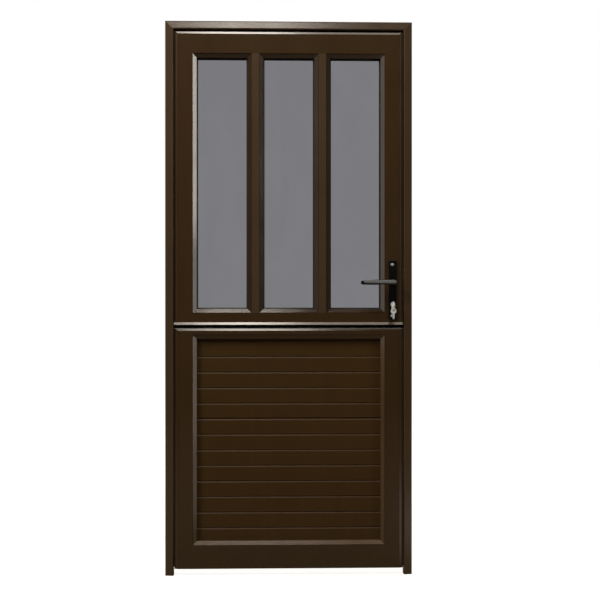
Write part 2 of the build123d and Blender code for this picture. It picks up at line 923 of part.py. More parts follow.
with BuildPart() as meeting_seal:
    fin_end = lower_top + meeting_seal_clearance
    seal_half_length = outer_half - meeting_seal_end_gap
    seal_middle = leaf_rear - flange_thickness / 2
    base_half = meeting_seal_width / 2
    root_half = meeting_seal_fin_thickness / 2
    edge_half = meeting_seal_edge_thickness / 2
    base_foot = upper_bottom - meeting_seal_base_thickness
    with BuildSketch(Plane.YZ.offset(-seal_half_length)):
        rectangle_between(seal_middle - base_half, base_foot, seal_middle + base_half, upper_bottom)
        Polygon([
            (seal_middle - root_half, base_foot),
            (seal_middle + root_half, base_foot),
            (seal_middle + edge_half, fin_end),
            (seal_middle - edge_half, fin_end),
        ])
    extrude(amount=2 * seal_half_length)


# Hinges

def frame_wing(height):
    """Frame half of a barrel hinge: a plate on the frame's rear face and two knuckles on webs."""
    with BuildPart() as wing:
        plate_left = -frame_half + frame_wing_margin
        with BuildSketch(front_view(frame_rear)) as plate:
            rectangle_between(
                plate_left, height - frame_wing_height / 2,
                hinge_x + hinge_radius, height + frame_wing_height / 2,
            )
            fillet(plate.vertices(), radius=wing_corner_radius)
        extrude(amount=-wing_thickness)
        for start in (knuckle_height / 2, -3 * knuckle_height / 2):
            with BuildSketch(Plane.XY.offset(height + start)):
                rectangle_between(hinge_x - hinge_radius, frame_rear, hinge_x + hinge_radius, hinge_y)
                with Locations((hinge_x, hinge_y)):
                    Circle(hinge_radius)
                    Circle(pin_radius + pin_clearance, mode=Mode.SUBTRACT)
            extrude(amount=knuckle_height)
        drill_screw_holes(frame_wing_screw_points([height]))
    return wing.part


def leaf_wing(height):
    """Leaf half of a barrel hinge: a plate on the leaf's rear face and one knuckle between the others."""
    half_knuckle = knuckle_height / 2 - knuckle_clearance
    plate_left = leaf_wing_left()
    with BuildPart() as wing:
        with BuildSketch(front_view(leaf_rear)) as plate:
            rectangle_between(
                plate_left, height - leaf_wing_height / 2,
                plate_left + leaf_wing_width, height + leaf_wing_height / 2,
            )
            fillet(plate.vertices(), radius=wing_corner_radius)
        extrude(amount=-wing_thickness)
        with BuildSketch(Plane.XY.offset(height - half_knuckle)):
            rectangle_between(hinge_x, leaf_rear, plate_left + wing_corner_radius, leaf_rear + wing_thickness)
            with Locations((hinge_x, hinge_y)):
                Circle(hinge_radius)
                Circle(pin_radius + pin_running_clearance, mode=Mode.SUBTRACT)
        extrude(amount=2 * half_knuckle)
        drill_screw_holes(leaf_wing_screw_points([height]))
    return wing.part


frame_wings = [frame_wing(height) for height in all_hinge_heights]
upper_wings = [leaf_wing(height) for height in upper_hinge_heights]
lower_wings = [leaf_wing(height) for height in lower_hinge_heights]
with BuildPart() as hinge_frame_wings:
    add(frame_wings)
with BuildPart() as upper_hinge_wings:
    add(upper_wings)
with BuildPart() as lower_hinge_wings:
    add(lower_wings)

with BuildPart() as hinge_pins:
    stack_half = 3 * knuckle_height / 2
    for height in all_hinge_heights:
        with Locations((hinge_x, hinge_y, height)):
            Cylinder(pin_radius, 2 * stack_half)
        for side in (-1, 1):
            with Locations((hinge_x, hinge_y, height + side * (stack_half + pin_head_height / 2))):
                Cylinder(pin_head_radius, pin_head_height)
    head_rims = hinge_pins.edges().filter_by(GeomType.CIRCLE).group_by(SortBy.RADIUS)[-1]
    fillet(head_rims, radius=pin_head_height / 3)


# Lock

with BuildPart() as lock_case:
    case_front = leaf_half
    case_back = leaf_half - case_depth
    case_bottom = cylinder_height - case_bottom_distance
    case_top = lever_height + case_top_distance
    with BuildSketch(front_view(lock_offset - case_thickness / 2)):
        rectangle_between(case_back, case_bottom, case_front, case_top)
    extrude(amount=-case_thickness)
    cut_box(
        case_back + case_wall, lock_offset - case_thickness / 2 + case_wall, case_bottom + case_wall,
        case_front - case_wall, lock_offset + case_thickness / 2 - case_wall, case_top - case_wall,
    )
    drill_along_y([(lock_x, lock_offset, lever_height)], follower_radius + running_clearance, trim_depth)
    cut_cylinder_hole()
    cut_bolt_mouths(leaf_half - case_wall - overrun, leaf_half + overrun, bolt_clearance)


with BuildPart() as lock_forend:
    with BuildSketch(Plane.YZ.offset(leaf_half)) as forend_outline:
        rectangle_between(
            lock_offset - forend_width / 2, lever_height - forend_bottom_distance,
            lock_offset + forend_width / 2, lever_height + forend_top_distance,
        )
        fillet(forend_outline.vertices(), radius=forend_width / 3)
    extrude(amount=forend_thickness)
    cut_bolt_mouths(leaf_half - overrun, forend_face + overrun, bolt_clearance)

socket_width = spindle_width + 2 * spindle_clearance

with BuildPart() as follower:
    with BuildSketch(front_view(lock_offset - case_thickness / 2)):
        with Locations((lock_x, lever_height)):
            Circle(follower_radius)
            Rectangle(socket_width, socket_width, mode=Mode.SUBTRACT)
    extrude(amount=-case_thickness)

with BuildPart() as spindle:
    spindle_half = leaf_rear + plate_thickness + lever_stand_off_distance / 2
    with BuildSketch(front_view(-spindle_half)):
        with Locations((lock_x, lever_height)):
            Rectangle(spindle_width, spindle_width)
    extrude(amount=-2 * spindle_half)

with BuildPart() as latch_bolt:
    latch_tip = forend_face + latch_throw_length
    latch_root = latch_tip - latch_head_length
    latch_outer = lock_offset - latch_thickness / 2
    latch_inner = lock_offset + latch_thickness / 2
    with BuildSketch(Plane.XY.offset(latch_z - latch_height / 2)):
        Polygon([
            (latch_root, latch_outer),
            (forend_face, latch_outer),
            (latch_tip, latch_inner - latch_nose_thickness),
            (latch_tip, latch_inner),
            (latch_root, latch_inner),
        ])
    extrude(amount=latch_height)
    with Locations((latch_root, lock_offset, latch_z)):
        Box(
            latch_tail_length, latch_tail_thickness, latch_tail_height,
            align=(Align.MAX, Align.CENTER, Align.CENTER),
        )

with BuildPart() as deadbolt:
    with Locations((forend_face - deadbolt_recess_depth, lock_offset, deadbolt_z)):
        Box(
            deadbolt_length, deadbolt_thickness, deadbolt_height,
            align=(Align.MAX, Align.CENTER, Align.CENTER),
        )
    fillet(deadbolt.edges().filter_by(Axis.Z).group_by(Axis.X)[-1], radius=deadbolt_thickness / 6)


with BuildPart() as strike_plate:
    with BuildSketch(Plane.YZ.offset(opening_half - strike_thickness)) as strike_outline:
        rectangle_between(
            lock_offset - strike_width / 2, deadbolt_z - deadbolt_height / 2 - strike_margin,
            lock_offset + strike_width / 2, latch_z + latch_height / 2 + strike_margin,
        )
        fillet(strike_outline.vertices(), radius=wing_corner_radius)
    extrude(amount=strike_thickness)
    cut_bolt_mouths(opening_half - strike_thickness - overrun, opening_half + overrun, 2 * bolt_clearance)


# Handle set

def back_plate(face_y, outwards):
    """Long plate with rounded edges, bored for the lever, the cylinder and the through bolts."""
    with BuildPart() as plate:
        with BuildSketch(front_view(face_y)) as outline:
            rectangle_between(
                lock_x - plate_width / 2, lever_height - plate_bottom_distance,
                lock_x + plate_width / 2, lever_height + plate_top_distance,
            )
            fillet(outline.vertices(), radius=plate_corner_radius)
        extrude(amount=-outwards * plate_thickness)
        rim = plate.faces().sort_by(Axis.Y)[-1 if outwards > 0 else 0].edges()
        fillet(rim, radius=plate_edge_radius)
        with BuildSketch(front_view(face_y + outwards * plate_thickness)) as collar:
            with Locations((lock_x, lever_height)):
                Circle(collar_radius)
        extrude(collar.sketch, amount=-outwards * collar_height)
        drill_along_y([(lock_x, face_y, lever_height)], lever_neck_radius + running_clearance, trim_depth)
        drill_along_y(plate_bolt_points(), plate_bolt_radius + screw_clearance, trim_depth)
        cut_cylinder_hole()
    return plate


front_back_plate = back_plate(leaf_front, -1)
rear_back_plate = back_plate(leaf_rear, 1)

with BuildPart() as plate_bolts:
    bolt_half = leaf_rear + plate_thickness
    for x, y, z in plate_bolt_points():
        with Locations((x, y, z)):
            Cylinder(plate_bolt_radius, 2 * bolt_half, rotation=(quarter_turn, 0, 0))
        for side in (-1, 1):
            with Locations((x, side * (bolt_half + plate_bolt_head_height / 2), z)):
                Cylinder(plate_bolt_head_radius, plate_bolt_head_height, rotation=(quarter_turn, 0, 0))

with BuildPart() as front_lever:
    grip_back = leaf_front - plate_thickness - lever_stand_off_distance
    grip_front = grip_back - lever_grip_thickness
    with BuildSketch(front_view(grip_back)):
        with Locations((lock_x, lever_height)):
            Circle(lever_root_radius)
        with Locations((lock_x - lever_length + lever_tip_radius, lever_height)):
            Circle(lever_tip_radius)
        make_hull()
    extrude(amount=lever_grip_thickness)
    fillet(front_lever.faces().filter_by(Axis.Y).edges(), radius=lever_edge_radius)
    with BuildSketch(front_view(leaf_front)):
        with Locations((lock_x, lever_height)):
            Circle(lever_neck_radius)
    extrude(amount=leaf_front - grip_back + lever_edge_radius)
    socket_half = socket_width / 2
    cut_box(
        lock_x - socket_half, -spindle_half, lever_height - socket_half,
        lock_x + socket_half, leaf_front + overrun, lever_height + socket_half,
    )

with BuildPart() as rear_lever:
    add(mirror(front_lever.part, about=Plane.XZ, mode=Mode.PRIVATE))


# Profile cylinder and keys

cylinder_face = leaf_front - plate_thickness - cylinder_proud_depth

with BuildPart() as lock_cylinder:
    with BuildSketch(front_view(cylinder_face)):
        cylinder_profile(0)
    extrude(amount=2 * cylinder_face)
    drill_along_y([(lock_x, cylinder_face, cylinder_height)], plug_radius + running_clearance, 2 * plug_depth)

with BuildPart() as cylinder_plug:
    with BuildSketch(front_view(cylinder_face)):
        with Locations((lock_x, cylinder_height)):
            Circle(plug_radius)
    extrude(amount=-plug_depth + running_clearance)
    slot_half = key_blade_thickness / 2 + key_slot_clearance
    slot_top = cylinder_height + key_blade_height / 2 + key_slot_clearance
    slot_bottom = cylinder_height - key_blade_height / 2 - key_slot_clearance
    cut_box(
        lock_x - slot_half, cylinder_face - overrun, slot_bottom,
        lock_x + slot_half, cylinder_face + key_blade_length + key_slot_clearance, slot_top,
    )


def blade_outline(length):
    """Half-round nosed blade along x from its tip at zero to a length, notched along its lower edge."""
    half_blade = key_blade_height / 2
    points = [(half_blade, -half_blade)]
    for step, depth in enumerate(tooth_depths):
        root = half_blade + (step + 1 / 2) * tooth_spacing
        points.append((root, depth - half_blade))
        points.append((root + tooth_spacing / 2, -half_blade))
    points.extend([(length, -half_blade), (length, half_blade), (half_blade, half_blade), (0, 0)])
    return points


def key_outline(tip_y, blade_length, centre_z):
    """Flat key seen from its side: a toothed blade, a neck and a round bow with a ring hole."""
    bow_y = tip_y - blade_length - key_neck_length - bow_radius
    Polygon([(tip_y - along, centre_z + across) for along, across in blade_outline(tip_y - bow_y)])
    with Locations((bow_y, centre_z)):
        Circle(bow_radius)
    with Locations((bow_y - bow_hole_offset, centre_z)):
        Circle(bow_hole_radius, mode=Mode.SUBTRACT)


key_tip = cylinder_face + key_blade_length
bow_middle = key_tip - key_blade_length - key_neck_length - bow_radius
ring_pivot_y = bow_middle - bow_hole_offset

with BuildPart() as key:
    with BuildSketch(Plane.YZ.offset(lock_x - key_blade_thickness / 2)):
        key_outline(key_tip, key_blade_length, cylinder_height)
    extrude(amount=key_blade_thickness)

with BuildPart() as key_ring:
    ring_middle = cylinder_height - bow_hole_radius + spare_clearance + ring_wire_radius - ring_radius
    with Locations((lock_x, ring_pivot_y, ring_middle)):
        Torus(ring_radius, ring_wire_radius, rotation=(quarter_turn, ring_turn, 0))

with BuildPart() as spare_key:
    spare_hole_z = ring_middle - ring_radius + ring_wire_radius + spare_clearance - bow_hole_radius
    spare_bow_z = spare_hole_z - bow_hole_offset
    with BuildSketch(front_view(ring_pivot_y - key_blade_thickness / 2)):
        with Locations((lock_x, spare_bow_z)):
            Circle(bow_radius)
        spare_tip = spare_bow_z - bow_radius - spare_blade_length
        spare_blade = blade_outline(bow_radius + spare_blade_length)
        Polygon([(lock_x + across, spare_tip + along) for along, across in spare_blade])
        with Locations((lock_x, spare_hole_z)):
            Circle(bow_hole_radius, mode=Mode.SUBTRACT)
    extrude(amount=-key_blade_thickness)


# Barrel bolts: drawn lying along local x, plate down, then placed on the leaf

def bolt_body(plane, travel):
    """Barrel on a plate, bored for the rod and slotted for its knob; x runs from the shooting end back."""
    with BuildPart() as body:
        with BuildSketch(plane) as plate:
            rectangle_between(0, -bolt_plate_width / 2, bolt_body_length, bolt_plate_width / 2)
            fillet(plate.vertices(), radius=wing_corner_radius)
        extrude(amount=bolt_plate_thickness)
        axis_height = bolt_plate_thickness + barrel_radius
        end = Plane(origin=plane.from_local_coords((0, 0, 0)), x_dir=plane.y_dir, z_dir=plane.x_dir)
        with BuildSketch(end):
            rectangle_between(-barrel_radius, 0, barrel_radius, axis_height)
            with Locations((0, axis_height)):
                Circle(barrel_radius)
                Circle(rod_radius + barrel_bore_clearance, mode=Mode.SUBTRACT)
        extrude(amount=bolt_body_length)
        slot_half = knob_stem_radius + slot_clearance
        knob_middle = bolt_body_length / 2 + travel / 2
        with BuildSketch(plane.offset(axis_height)) as slot:
            rectangle_between(
                knob_middle - travel - slot_half, -slot_half,
                knob_middle + slot_half, slot_half,
            )
        extrude(slot.sketch, amount=barrel_radius + overrun, mode=Mode.SUBTRACT)
        with BuildSketch(plane) as screw_holes:
            with Locations(*bolt_screw_offsets()):
                Circle(screw_radius + screw_clearance)
        extrude(screw_holes.sketch, amount=bolt_plate_thickness, mode=Mode.SUBTRACT)
    return body


def bolt_rod(plane, travel, rest_reach):
    """Round rod with a stemmed knob, its tip at a reach past the shooting end of the body."""
    axis_height = bolt_plate_thickness + barrel_radius
    knob_middle = bolt_body_length / 2 + travel / 2
    tip = plane.from_local_coords((-rest_reach, 0, axis_height))
    knob_root = plane.from_local_coords((knob_middle, 0, axis_height))
    end = Plane(origin=tip, x_dir=plane.y_dir, z_dir=plane.x_dir)
    stem = Plane(origin=knob_root, x_dir=plane.x_dir, z_dir=plane.z_dir)
    with BuildPart() as rod:
        with BuildSketch(end):
            Circle(rod_radius)
        extrude(amount=rod_length)
        chamfer(rod.edges().filter_by(GeomType.CIRCLE), length=rod_radius / 5)
        with BuildSketch(stem):
            Circle(knob_stem_radius)
        extrude(amount=barrel_radius + knob_height / 2)
        with BuildSketch(stem.offset(barrel_radius + knob_height / 3)) as knob_foot:
            Circle(knob_radius)
        extrude(knob_foot.sketch, amount=knob_height)
        knob_rims = rod.edges().filter_by(GeomType.CIRCLE).group_by(SortBy.RADIUS)[-1]
        fillet(knob_rims, radius=knob_radius / 2)
    return rod


upright_plane = Plane(origin=(lock_x, leaf_rear, joining_body_top()), x_dir=(0, 0, -1), z_dir=(0, 1, 0))
level_plane = Plane(origin=(jamb_body_end(), leaf_rear, jamb_bolt_height), x_dir=(-1, 0, 0), z_dir=(0, 1, 0))
joining_bolt_body = bolt_body(upright_plane, joining_travel_length)
joining_bolt_rod = bolt_rod(upright_plane, joining_travel_length, keeper_gap - rod_rest_gap)
jamb_bolt_body = bolt_body(level_plane, jamb_bolt_travel_length)
jamb_bolt_rod = bolt_rod(level_plane, jamb_bolt_travel_length, keeper_gap - rod_rest_gap)


def keeper(plane, rise):
    """Bored keeper on a flanged foot: the plane's x runs along the rod and its origin is the mouth."""
    with BuildPart() as block:
        half_foot = barrel_radius + keeper_flange_width
        with BuildSketch(plane) as foot:
            rectangle_between(0, -half_foot, keeper_length, half_foot)
            fillet(foot.vertices(), radius=wing_corner_radius)
        extrude(amount=bolt_plate_thickness)
        end = Plane(origin=plane.from_local_coords((0, 0, 0)), x_dir=plane.y_dir, z_dir=plane.x_dir)
        with BuildSketch(end):
            rectangle_between(-barrel_radius, 0, barrel_radius, rise)
            with Locations((0, rise)):
                Circle(barrel_radius)
                Circle(rod_radius + keeper_clearance, mode=Mode.SUBTRACT)
        extrude(amount=keeper_length)
        hole_reach = barrel_radius + keeper_flange_width / 2
        with BuildSketch(plane) as screw_holes:
            with Locations((keeper_length / 2, -hole_reach), (keeper_length / 2, hole_reach)):
                Circle(screw_radius + screw_clearance)
        extrude(screw_holes.sketch, amount=bolt_plate_thickness, mode=Mode.SUBTRACT)
    return block


joining_keeper = keeper(
    Plane(origin=(lock_x, leaf_rear, upper_bottom + keeper_gap), x_dir=(0, 0, 1), z_dir=(0, 1, 0)),
    bolt_axis_y - leaf_rear,
)
jamb_keeper = keeper(
    Plane(
        origin=(jamb_keeper_x - keeper_length / 2, frame_rear, jamb_bolt_height),
        x_dir=(1, 0, 0), z_dir=(0, 1, 0),
    ),
    bolt_axis_y - frame_rear,
)


# Screws

rear_turn = (-quarter_turn, 0, 0)

with BuildPart() as frame_screws:
    pan_screws(frame_wing_screw_points(all_hinge_heights) + jamb_keeper_screw_points(), rear_turn)

with BuildPart() as upper_leaf_screws:
    pan_screws(leaf_wing_screw_points(upper_hinge_heights) + joining_keeper_screw_points(), rear_turn)

with BuildPart() as lower_leaf_screws:
    pan_screws(leaf_wing_screw_points(lower_hinge_heights) + bolt_screw_points(), rear_turn)


# Label and write every piece

pieces = {
    "head": head,
    "jamb_hinge_side": jamb_hinge_side,
    "jamb_lock_side": jamb_lock_side,
    "frame_corner_cleats": frame_corner_cleats,
    "frame_seals": frame_seals,
    "hinge_frame_wings": hinge_frame_wings,
    "hinge_pins": hinge_pins,
    "strike_plate": strike_plate,
    "jamb_keeper": jamb_keeper,
    "frame_screws": frame_screws,
    "upper_hinge_stile": upper_hinge_stile,
    "upper_lock_stile": upper_lock_stile,
    "upper_top_rail": upper_top_rail,
    "upper_bottom_rail": upper_bottom_rail,
    "mullion_left": mullion_left,
    "mullion_right": mullion_right,
    "upper_corner_cleats": upper_corner_cleats,
    "weather_bar": weather_bar,
    "meeting_seal": meeting_seal,
    "upper_hinge_wings": upper_hinge_wings,
    "lock_case": lock_case,
    "lock_forend": lock_forend,
    "front_back_plate": front_back_plate,
    "rear_back_plate": rear_back_plate,
    "plate_bolts": plate_bolts,
    "lock_cylinder": lock_cylinder,
    "joining_keeper": joining_keeper,
    "upper_leaf_screws": upper_leaf_screws,
    "front_lever": front_lever,
    "rear_lever": rear_lever,
    "spindle": spindle,
    "follower": follower,
    "latch_bolt": latch_bolt,
    "deadbolt": deadbolt,
    "cylinder_plug": cylinder_plug,
    "key": key,
    "key_ring": key_ring,
    "spare_key": spare_key,
    "lower_hinge_stile": lower_hinge_stile,
    "lower_lock_stile": lower_lock_stile,
    "lower_top_rail": lower_top_rail,
    "lower_bottom_rail": lower_bottom_rail,
    "lower_corner_cleats": lower_corner_cleats,
    "slats": slats,
    "panel_beads": panel_beads,
    "lower_hinge_wings": lower_hinge_wings,
    "joining_bolt_body": joining_bolt_body,
    "joining_bolt_rod": joining_bolt_rod,
    "jamb_bolt_body": jamb_bolt_body,
    "jamb_bolt_rod": jamb_bolt_rod,
    "lower_leaf_screws": lower_leaf_screws,
}
pieces.update(glazing)

os.makedirs("parts", exist_ok=True)
for name, piece in pieces.items():
    piece.part.label = name
    export_step(piece.part, f"parts/{name}.step")
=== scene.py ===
import math

import bpy
import numpy as np
from bpy.props import FloatProperty, FloatVectorProperty, IntProperty, PointerProperty
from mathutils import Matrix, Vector


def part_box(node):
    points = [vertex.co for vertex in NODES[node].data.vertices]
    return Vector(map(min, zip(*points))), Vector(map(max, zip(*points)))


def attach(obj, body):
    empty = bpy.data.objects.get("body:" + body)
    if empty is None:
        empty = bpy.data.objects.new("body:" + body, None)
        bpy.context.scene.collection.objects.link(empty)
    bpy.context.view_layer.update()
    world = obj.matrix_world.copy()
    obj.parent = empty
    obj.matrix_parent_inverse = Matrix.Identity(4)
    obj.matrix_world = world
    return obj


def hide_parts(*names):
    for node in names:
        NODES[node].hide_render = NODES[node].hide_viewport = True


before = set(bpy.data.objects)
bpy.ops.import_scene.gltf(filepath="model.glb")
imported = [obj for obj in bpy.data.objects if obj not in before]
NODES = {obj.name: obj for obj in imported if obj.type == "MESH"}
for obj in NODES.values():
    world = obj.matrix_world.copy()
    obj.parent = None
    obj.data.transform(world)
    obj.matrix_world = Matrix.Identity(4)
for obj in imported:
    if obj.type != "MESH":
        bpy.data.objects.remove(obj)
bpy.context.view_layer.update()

bl_info = {
    "name": "Stable Door Finishes",
    "version": (1, 0, 0),
    "blender": (4, 5, 0),
    "location": "View3D > Sidebar > Stable Door",
    "description": "Gives a two-leaf stable door its coats, glass, ironmongery details and studio",
    "category": "Object",
}

MM = 0.001
WHITE = (1.0, 1.0, 1.0)

# Nodes that share a finish
FRAME_NODES = ("head", "jamb_hinge_side", "jamb_lock_side")
LEAF_NODES = (
    "upper_hinge_stile", "upper_lock_stile", "upper_top_rail", "upper_bottom_rail",
    "weather_bar",
    "lower_hinge_stile", "lower_lock_stile", "lower_top_rail", "lower_bottom_rail",
)
MULLION_NODES = ("mullion_left", "mullion_right")
BEAD_NODES = ("beads_left", "beads_centre", "beads_right")
SLAT_NODES = ("slats",)
PANEL_BEAD_NODES = ("panel_beads",)
CLEAT_NODES = ("frame_corner_cleats", "upper_corner_cleats", "lower_corner_cleats")
PANE_NODES = ("glass_left", "glass_centre", "glass_right")
RUBBER_NODES = ("gaskets_left", "gaskets_centre", "gaskets_right", "frame_seals", "meeting_seal")
HINGE_NODES = ("hinge_frame_wings", "upper_hinge_wings", "lower_hinge_wings")
PLATE_NODES = ("front_back_plate", "rear_back_plate")
LEVER_NODES = ("front_lever", "rear_lever")
DARK_NODES = ("strike_plate", "lock_forend")
NICKEL_NODES = ("lock_cylinder", "cylinder_plug", "key", "spare_key")
ZINC_NODES = (
    "hinge_pins", "jamb_keeper", "joining_keeper", "lock_case", "latch_bolt", "deadbolt", "spindle",
    "follower", "joining_bolt_body", "joining_bolt_rod", "jamb_bolt_body", "jamb_bolt_rod",
)

# Bodies that carry each node of pan screws
SCREW_BODIES = {
    "frame_screws": "frame",
    "upper_leaf_screws": "upper_leaf",
    "lower_leaf_screws": "lower_leaf",
}

# Bronze coats: nodes, settings of colour, roughness and shine, shares of dust on ledges and at the foot
COATS = {
    "frame_bronze": (FRAME_NODES, "frame_colour", "frame_roughness", "frame_shine", 0.2, 0.02),
    "leaf_bronze": (LEAF_NODES, "leaf_colour", "gloss_roughness", "gloss_shine", 0.2, 0.012),
    # Mullions and the beads round the boards take lighter copies of the leaves' bronze as painted light; the
    # glazing beads take a darker copy as painted shade
    "mullion_bronze": (MULLION_NODES, "mullion_lit_colour", "gloss_roughness", "gloss_shine", 0.15, 0.05),
    "bead_bronze": (BEAD_NODES, "glazing_bead_shaded_colour", "bead_roughness", "gloss_shine", 0.15, 0.05),
    "slat_bronze": (SLAT_NODES, "slat_colour", "matt_roughness", "matt_shine", 0.2, 0.05),
    "panel_bead_bronze": (
        PANEL_BEAD_NODES, "panel_bead_lit_colour", "satin_roughness", "satin_shine", 0.05, 0.02,
    ),
    "hinge_bronze": (HINGE_NODES, "hinge_colour", "gloss_roughness", "gloss_shine", 0.2, 0.1),
}
LEAF_COATS = ("leaf_bronze", "mullion_bronze", "bead_bronze", "slat_bronze", "panel_bead_bronze")

# Blacks: nodes, roughness, shine and share of painted highlight grey on the upper front
BLACKS = {
    "plate_black": (PLATE_NODES, 0.42, 0.06, 0.0),
    "lever_black": (LEVER_NODES, 0.34, 0.4, 0.9),
}

# Plated and bare metals: nodes, setting of colour, roughness, drawn lines a metre and their depth
METALS = {
    "cleat_aluminium": (CLEAT_NODES, "bare_colour", 0.38, 700.0, 0.03 * MM),
    # Painted shade: the forend and strike are coloured dark to stand for the shade of the gap they sit in
    "browned_plate": (DARK_NODES, "dark_colour", 0.4, 1200.0, 0.012 * MM),
    "nickel_plate": (NICKEL_NODES, "nickel_colour", 0.5, 2200.0, 0.008 * MM),
    "zinc_plate": (ZINC_NODES, "zinc_colour", 0.46, 1200.0, 0.012 * MM),
}
LOCK_METALS = ("browned_plate", "nickel_plate", "zinc_plate")

# Noises: stretch along each axis and settings, with scales in waves a metre
EVEN_SHARES = (1.0, 1.0, 1.0)
NOISES = {
    "clouds": (EVEN_SHARES, {"Scale": 5.0, "Detail": 4.0, "Roughness": 0.6}),
    "peel": (EVEN_SHARES, {"Detail": 2.0}),
    "runs": ((1.0, 1.0, 0.05), {"Scale": 38.0, "Detail": 3.0, "Roughness": 0.55}),
    "grains": (EVEN_SHARES, {"Scale": 140.0, "Detail": 5.0, "Roughness": 0.7}),
    "lines": ((1.0, 1.0, 0.04), {"Detail": 3.0}),
    "handling": (EVEN_SHARES, {"Scale": 90.0, "Detail": 3.0}),
    "wipes": ((1.0, 1.0, 0.4), {"Detail": 3.0, "Distortion": 1.2}),
    "floor": (EVEN_SHARES, {"Scale": 3.0, "Detail": 2.0}),
}
SPECK_SCALE = 70.0

# The part of each noise that is spread from nought to one
NOISE_RANGE_SHARES = {
    "clouds": (0.32, 0.68),
    "runs": (0.45, 0.75),
    "grains": (0.4, 0.65),
    "lines": (0.3, 0.7),
    "handling": (0.35, 0.7),
    "wipes": (0.4, 0.7),
    "specks": (0.12, 0.04),
}

# How finishes vary: darkest and lightest level of a colour, and how far the roughness strays
COAT_LEVEL_SHARES = (0.95, 1.06)
COAT_STRAY_SHARES = (-0.02, 0.02)
METAL_LEVEL_SHARES = (0.82, 1.1)
METAL_STRAY_SHARES = (-0.08, 0.1)
BLACK_LEVEL_SHARES = (0.8, 1.5)
BLACK_STRAY_SHARES = (-0.05, 0.07)
RUBBER_LEVEL_SHARES = (0.8, 1.4)
GLASS_LEVEL_SHARES = (0.98, 1.03)
FLOOR_LEVEL_SHARES = (0.99, 1.01)

# What lies over the finishes: streaks, dust that dulls, handling, and marks on the glass
STREAK_LEVEL_SHARE = 1.25
STREAK_SHARE = 0.3
DUST_DULL_SHARE = 0.5
LEDGE_UPWARD_SHARES = (0.75, 1.0)
HANDLED_LEVEL_SHARE = 0.55
HANDLED_SHARE = 0.35
SPECK_HAZE_SHARE = 0.03
WIPE_HAZE_SHARE = 0.015

# Upward share of the normal between which a lever gets a painted highlight in grey, and the share of that
# grey on its top
HIGHLIGHT_START_SHARES = (-0.2, 0.1)
HIGHLIGHT_END_SHARES = (0.2, 0.5)
HIGHLIGHT_TOP_SHARE = 0.06

# Fine texture of the blacks, the rubber and the glass, with scales in waves a metre
BLACK_PEEL_SCALE = 1400.0
BLACK_PEEL_DEPTH = 0.02 * MM
BLACK_WIPE_SCALE = 30.0
RUBBER_PEEL_SCALE = 1800.0
RUBBER_PEEL_DEPTH = 0.03 * MM
RUBBER_DUST_SHARES = (0.4, 0.2)
RUBBER_ROUGHNESS_SHARES = (0.62, 0.8)
RUBBER_SHINE_SHARE = 0.3
GLASS_WIPE_SCALE = 7.0
GLASS_BENDING = 1.5

# Screws: reach and height of the head's rows from seat to crown, and the bevels of shank and socket
HEAD_ROW_SHARES = ((0.97, 0.0), (1.0, 0.08), (1.0, 0.45), (0.95, 0.72), (0.84, 0.92), (0.7, 1.0))
HEAD_RIM_SHARES = (0.95, 1.05)
SHANK_SHARE = 0.5
SHANK_BEVEL_SHARE = 0.6
SOCKET_RIM_SHARE = 1.1
SOCKET_EDGE_SHARE = 0.94
SOCKET_CONE_SHARES = ((0.5, 0.08), (0.0, 0.12))
HEXAGON_STEP = math.pi / 3.0
SHARP_ANGLE = math.radians(35.0)

# Directions in the plane of a head, for each way that a head can face
HEAD_AXES = {
    "+Y": ((0, 0, 1), (1, 0, 0), (0, 1, 0)),
    "-Y": ((1, 0, 0), (0, 0, 1), (0, -1, 0)),
    "+X": ((0, 1, 0), (0, 0, 1), (1, 0, 0)),
    "-X": ((0, 0, 1), (0, 1, 0), (-1, 0, 0)),
}

# Lamps in metres: setting of power, place, point looked at, width and height
LAMPS = {
    "near_box": ("near_power", (-0.27, -1.87, 4.6), (-0.1, -0.4, 1.2), (0.66, 0.7)),
    "far_box": ("far_power", (-0.24, -4.4, 4.47), (-0.1, -0.4, 1.2), (0.9, 0.75)),
    "wide_box": ("wide_power", (0.1, -2.15, 4.7), (0.0, -0.4, 1.0), (2.6, 0.7)),
    "fill_panel": ("fill_power", (-2.8, -2.2, 3.9), (0.0, 0.0, 1.1), (1.0, 1.0)),
    "right_strip": ("right_power", (3.0, -1.6, 2.4), (0.0, 0.0, 1.7), (0.25, 1.8)),
    "low_strip": ("low_power", (3.0, -1.6, 0.78), (0.0, 0.0, 0.7), (0.25, 1.45)),
    "left_panel": ("left_power", (-3.0, -1.7, 1.85), (0.0, 0.0, 1.5), (0.5, 2.3)),
    "rear_box": ("rear_power", (0.5, 3.0, 4.9), (0.0, 0.0, 0.9), (2.0, 1.2)),
}


def colour_property(name, description, default):
    """A linear colour that the panel shows as a swatch."""
    return FloatVectorProperty(
        name=name, description=description, default=default, subtype="COLOR", size=3, min=0.0, max=1.0
    )


def length_property(name, description, default):
    """A length in metres that the panel shows in the scene's unit."""
    return FloatProperty(name=name, description=description, default=default, unit="LENGTH", precision=5)


def share_property(name, description, default):
    """A plain share from nought to one."""
    return FloatProperty(
        name=name, description=description, default=default, min=0.0, max=1.0, subtype="FACTOR"
    )


def angle_property(name, description, default):
    """An angle that the panel shows in degrees."""
    return FloatProperty(name=name, description=description, default=default, unit="ROTATION")


def power_property(name, description, default):
    """The power of a lamp in watts."""
    return FloatProperty(name=name, description=description, default=default, unit="POWER")


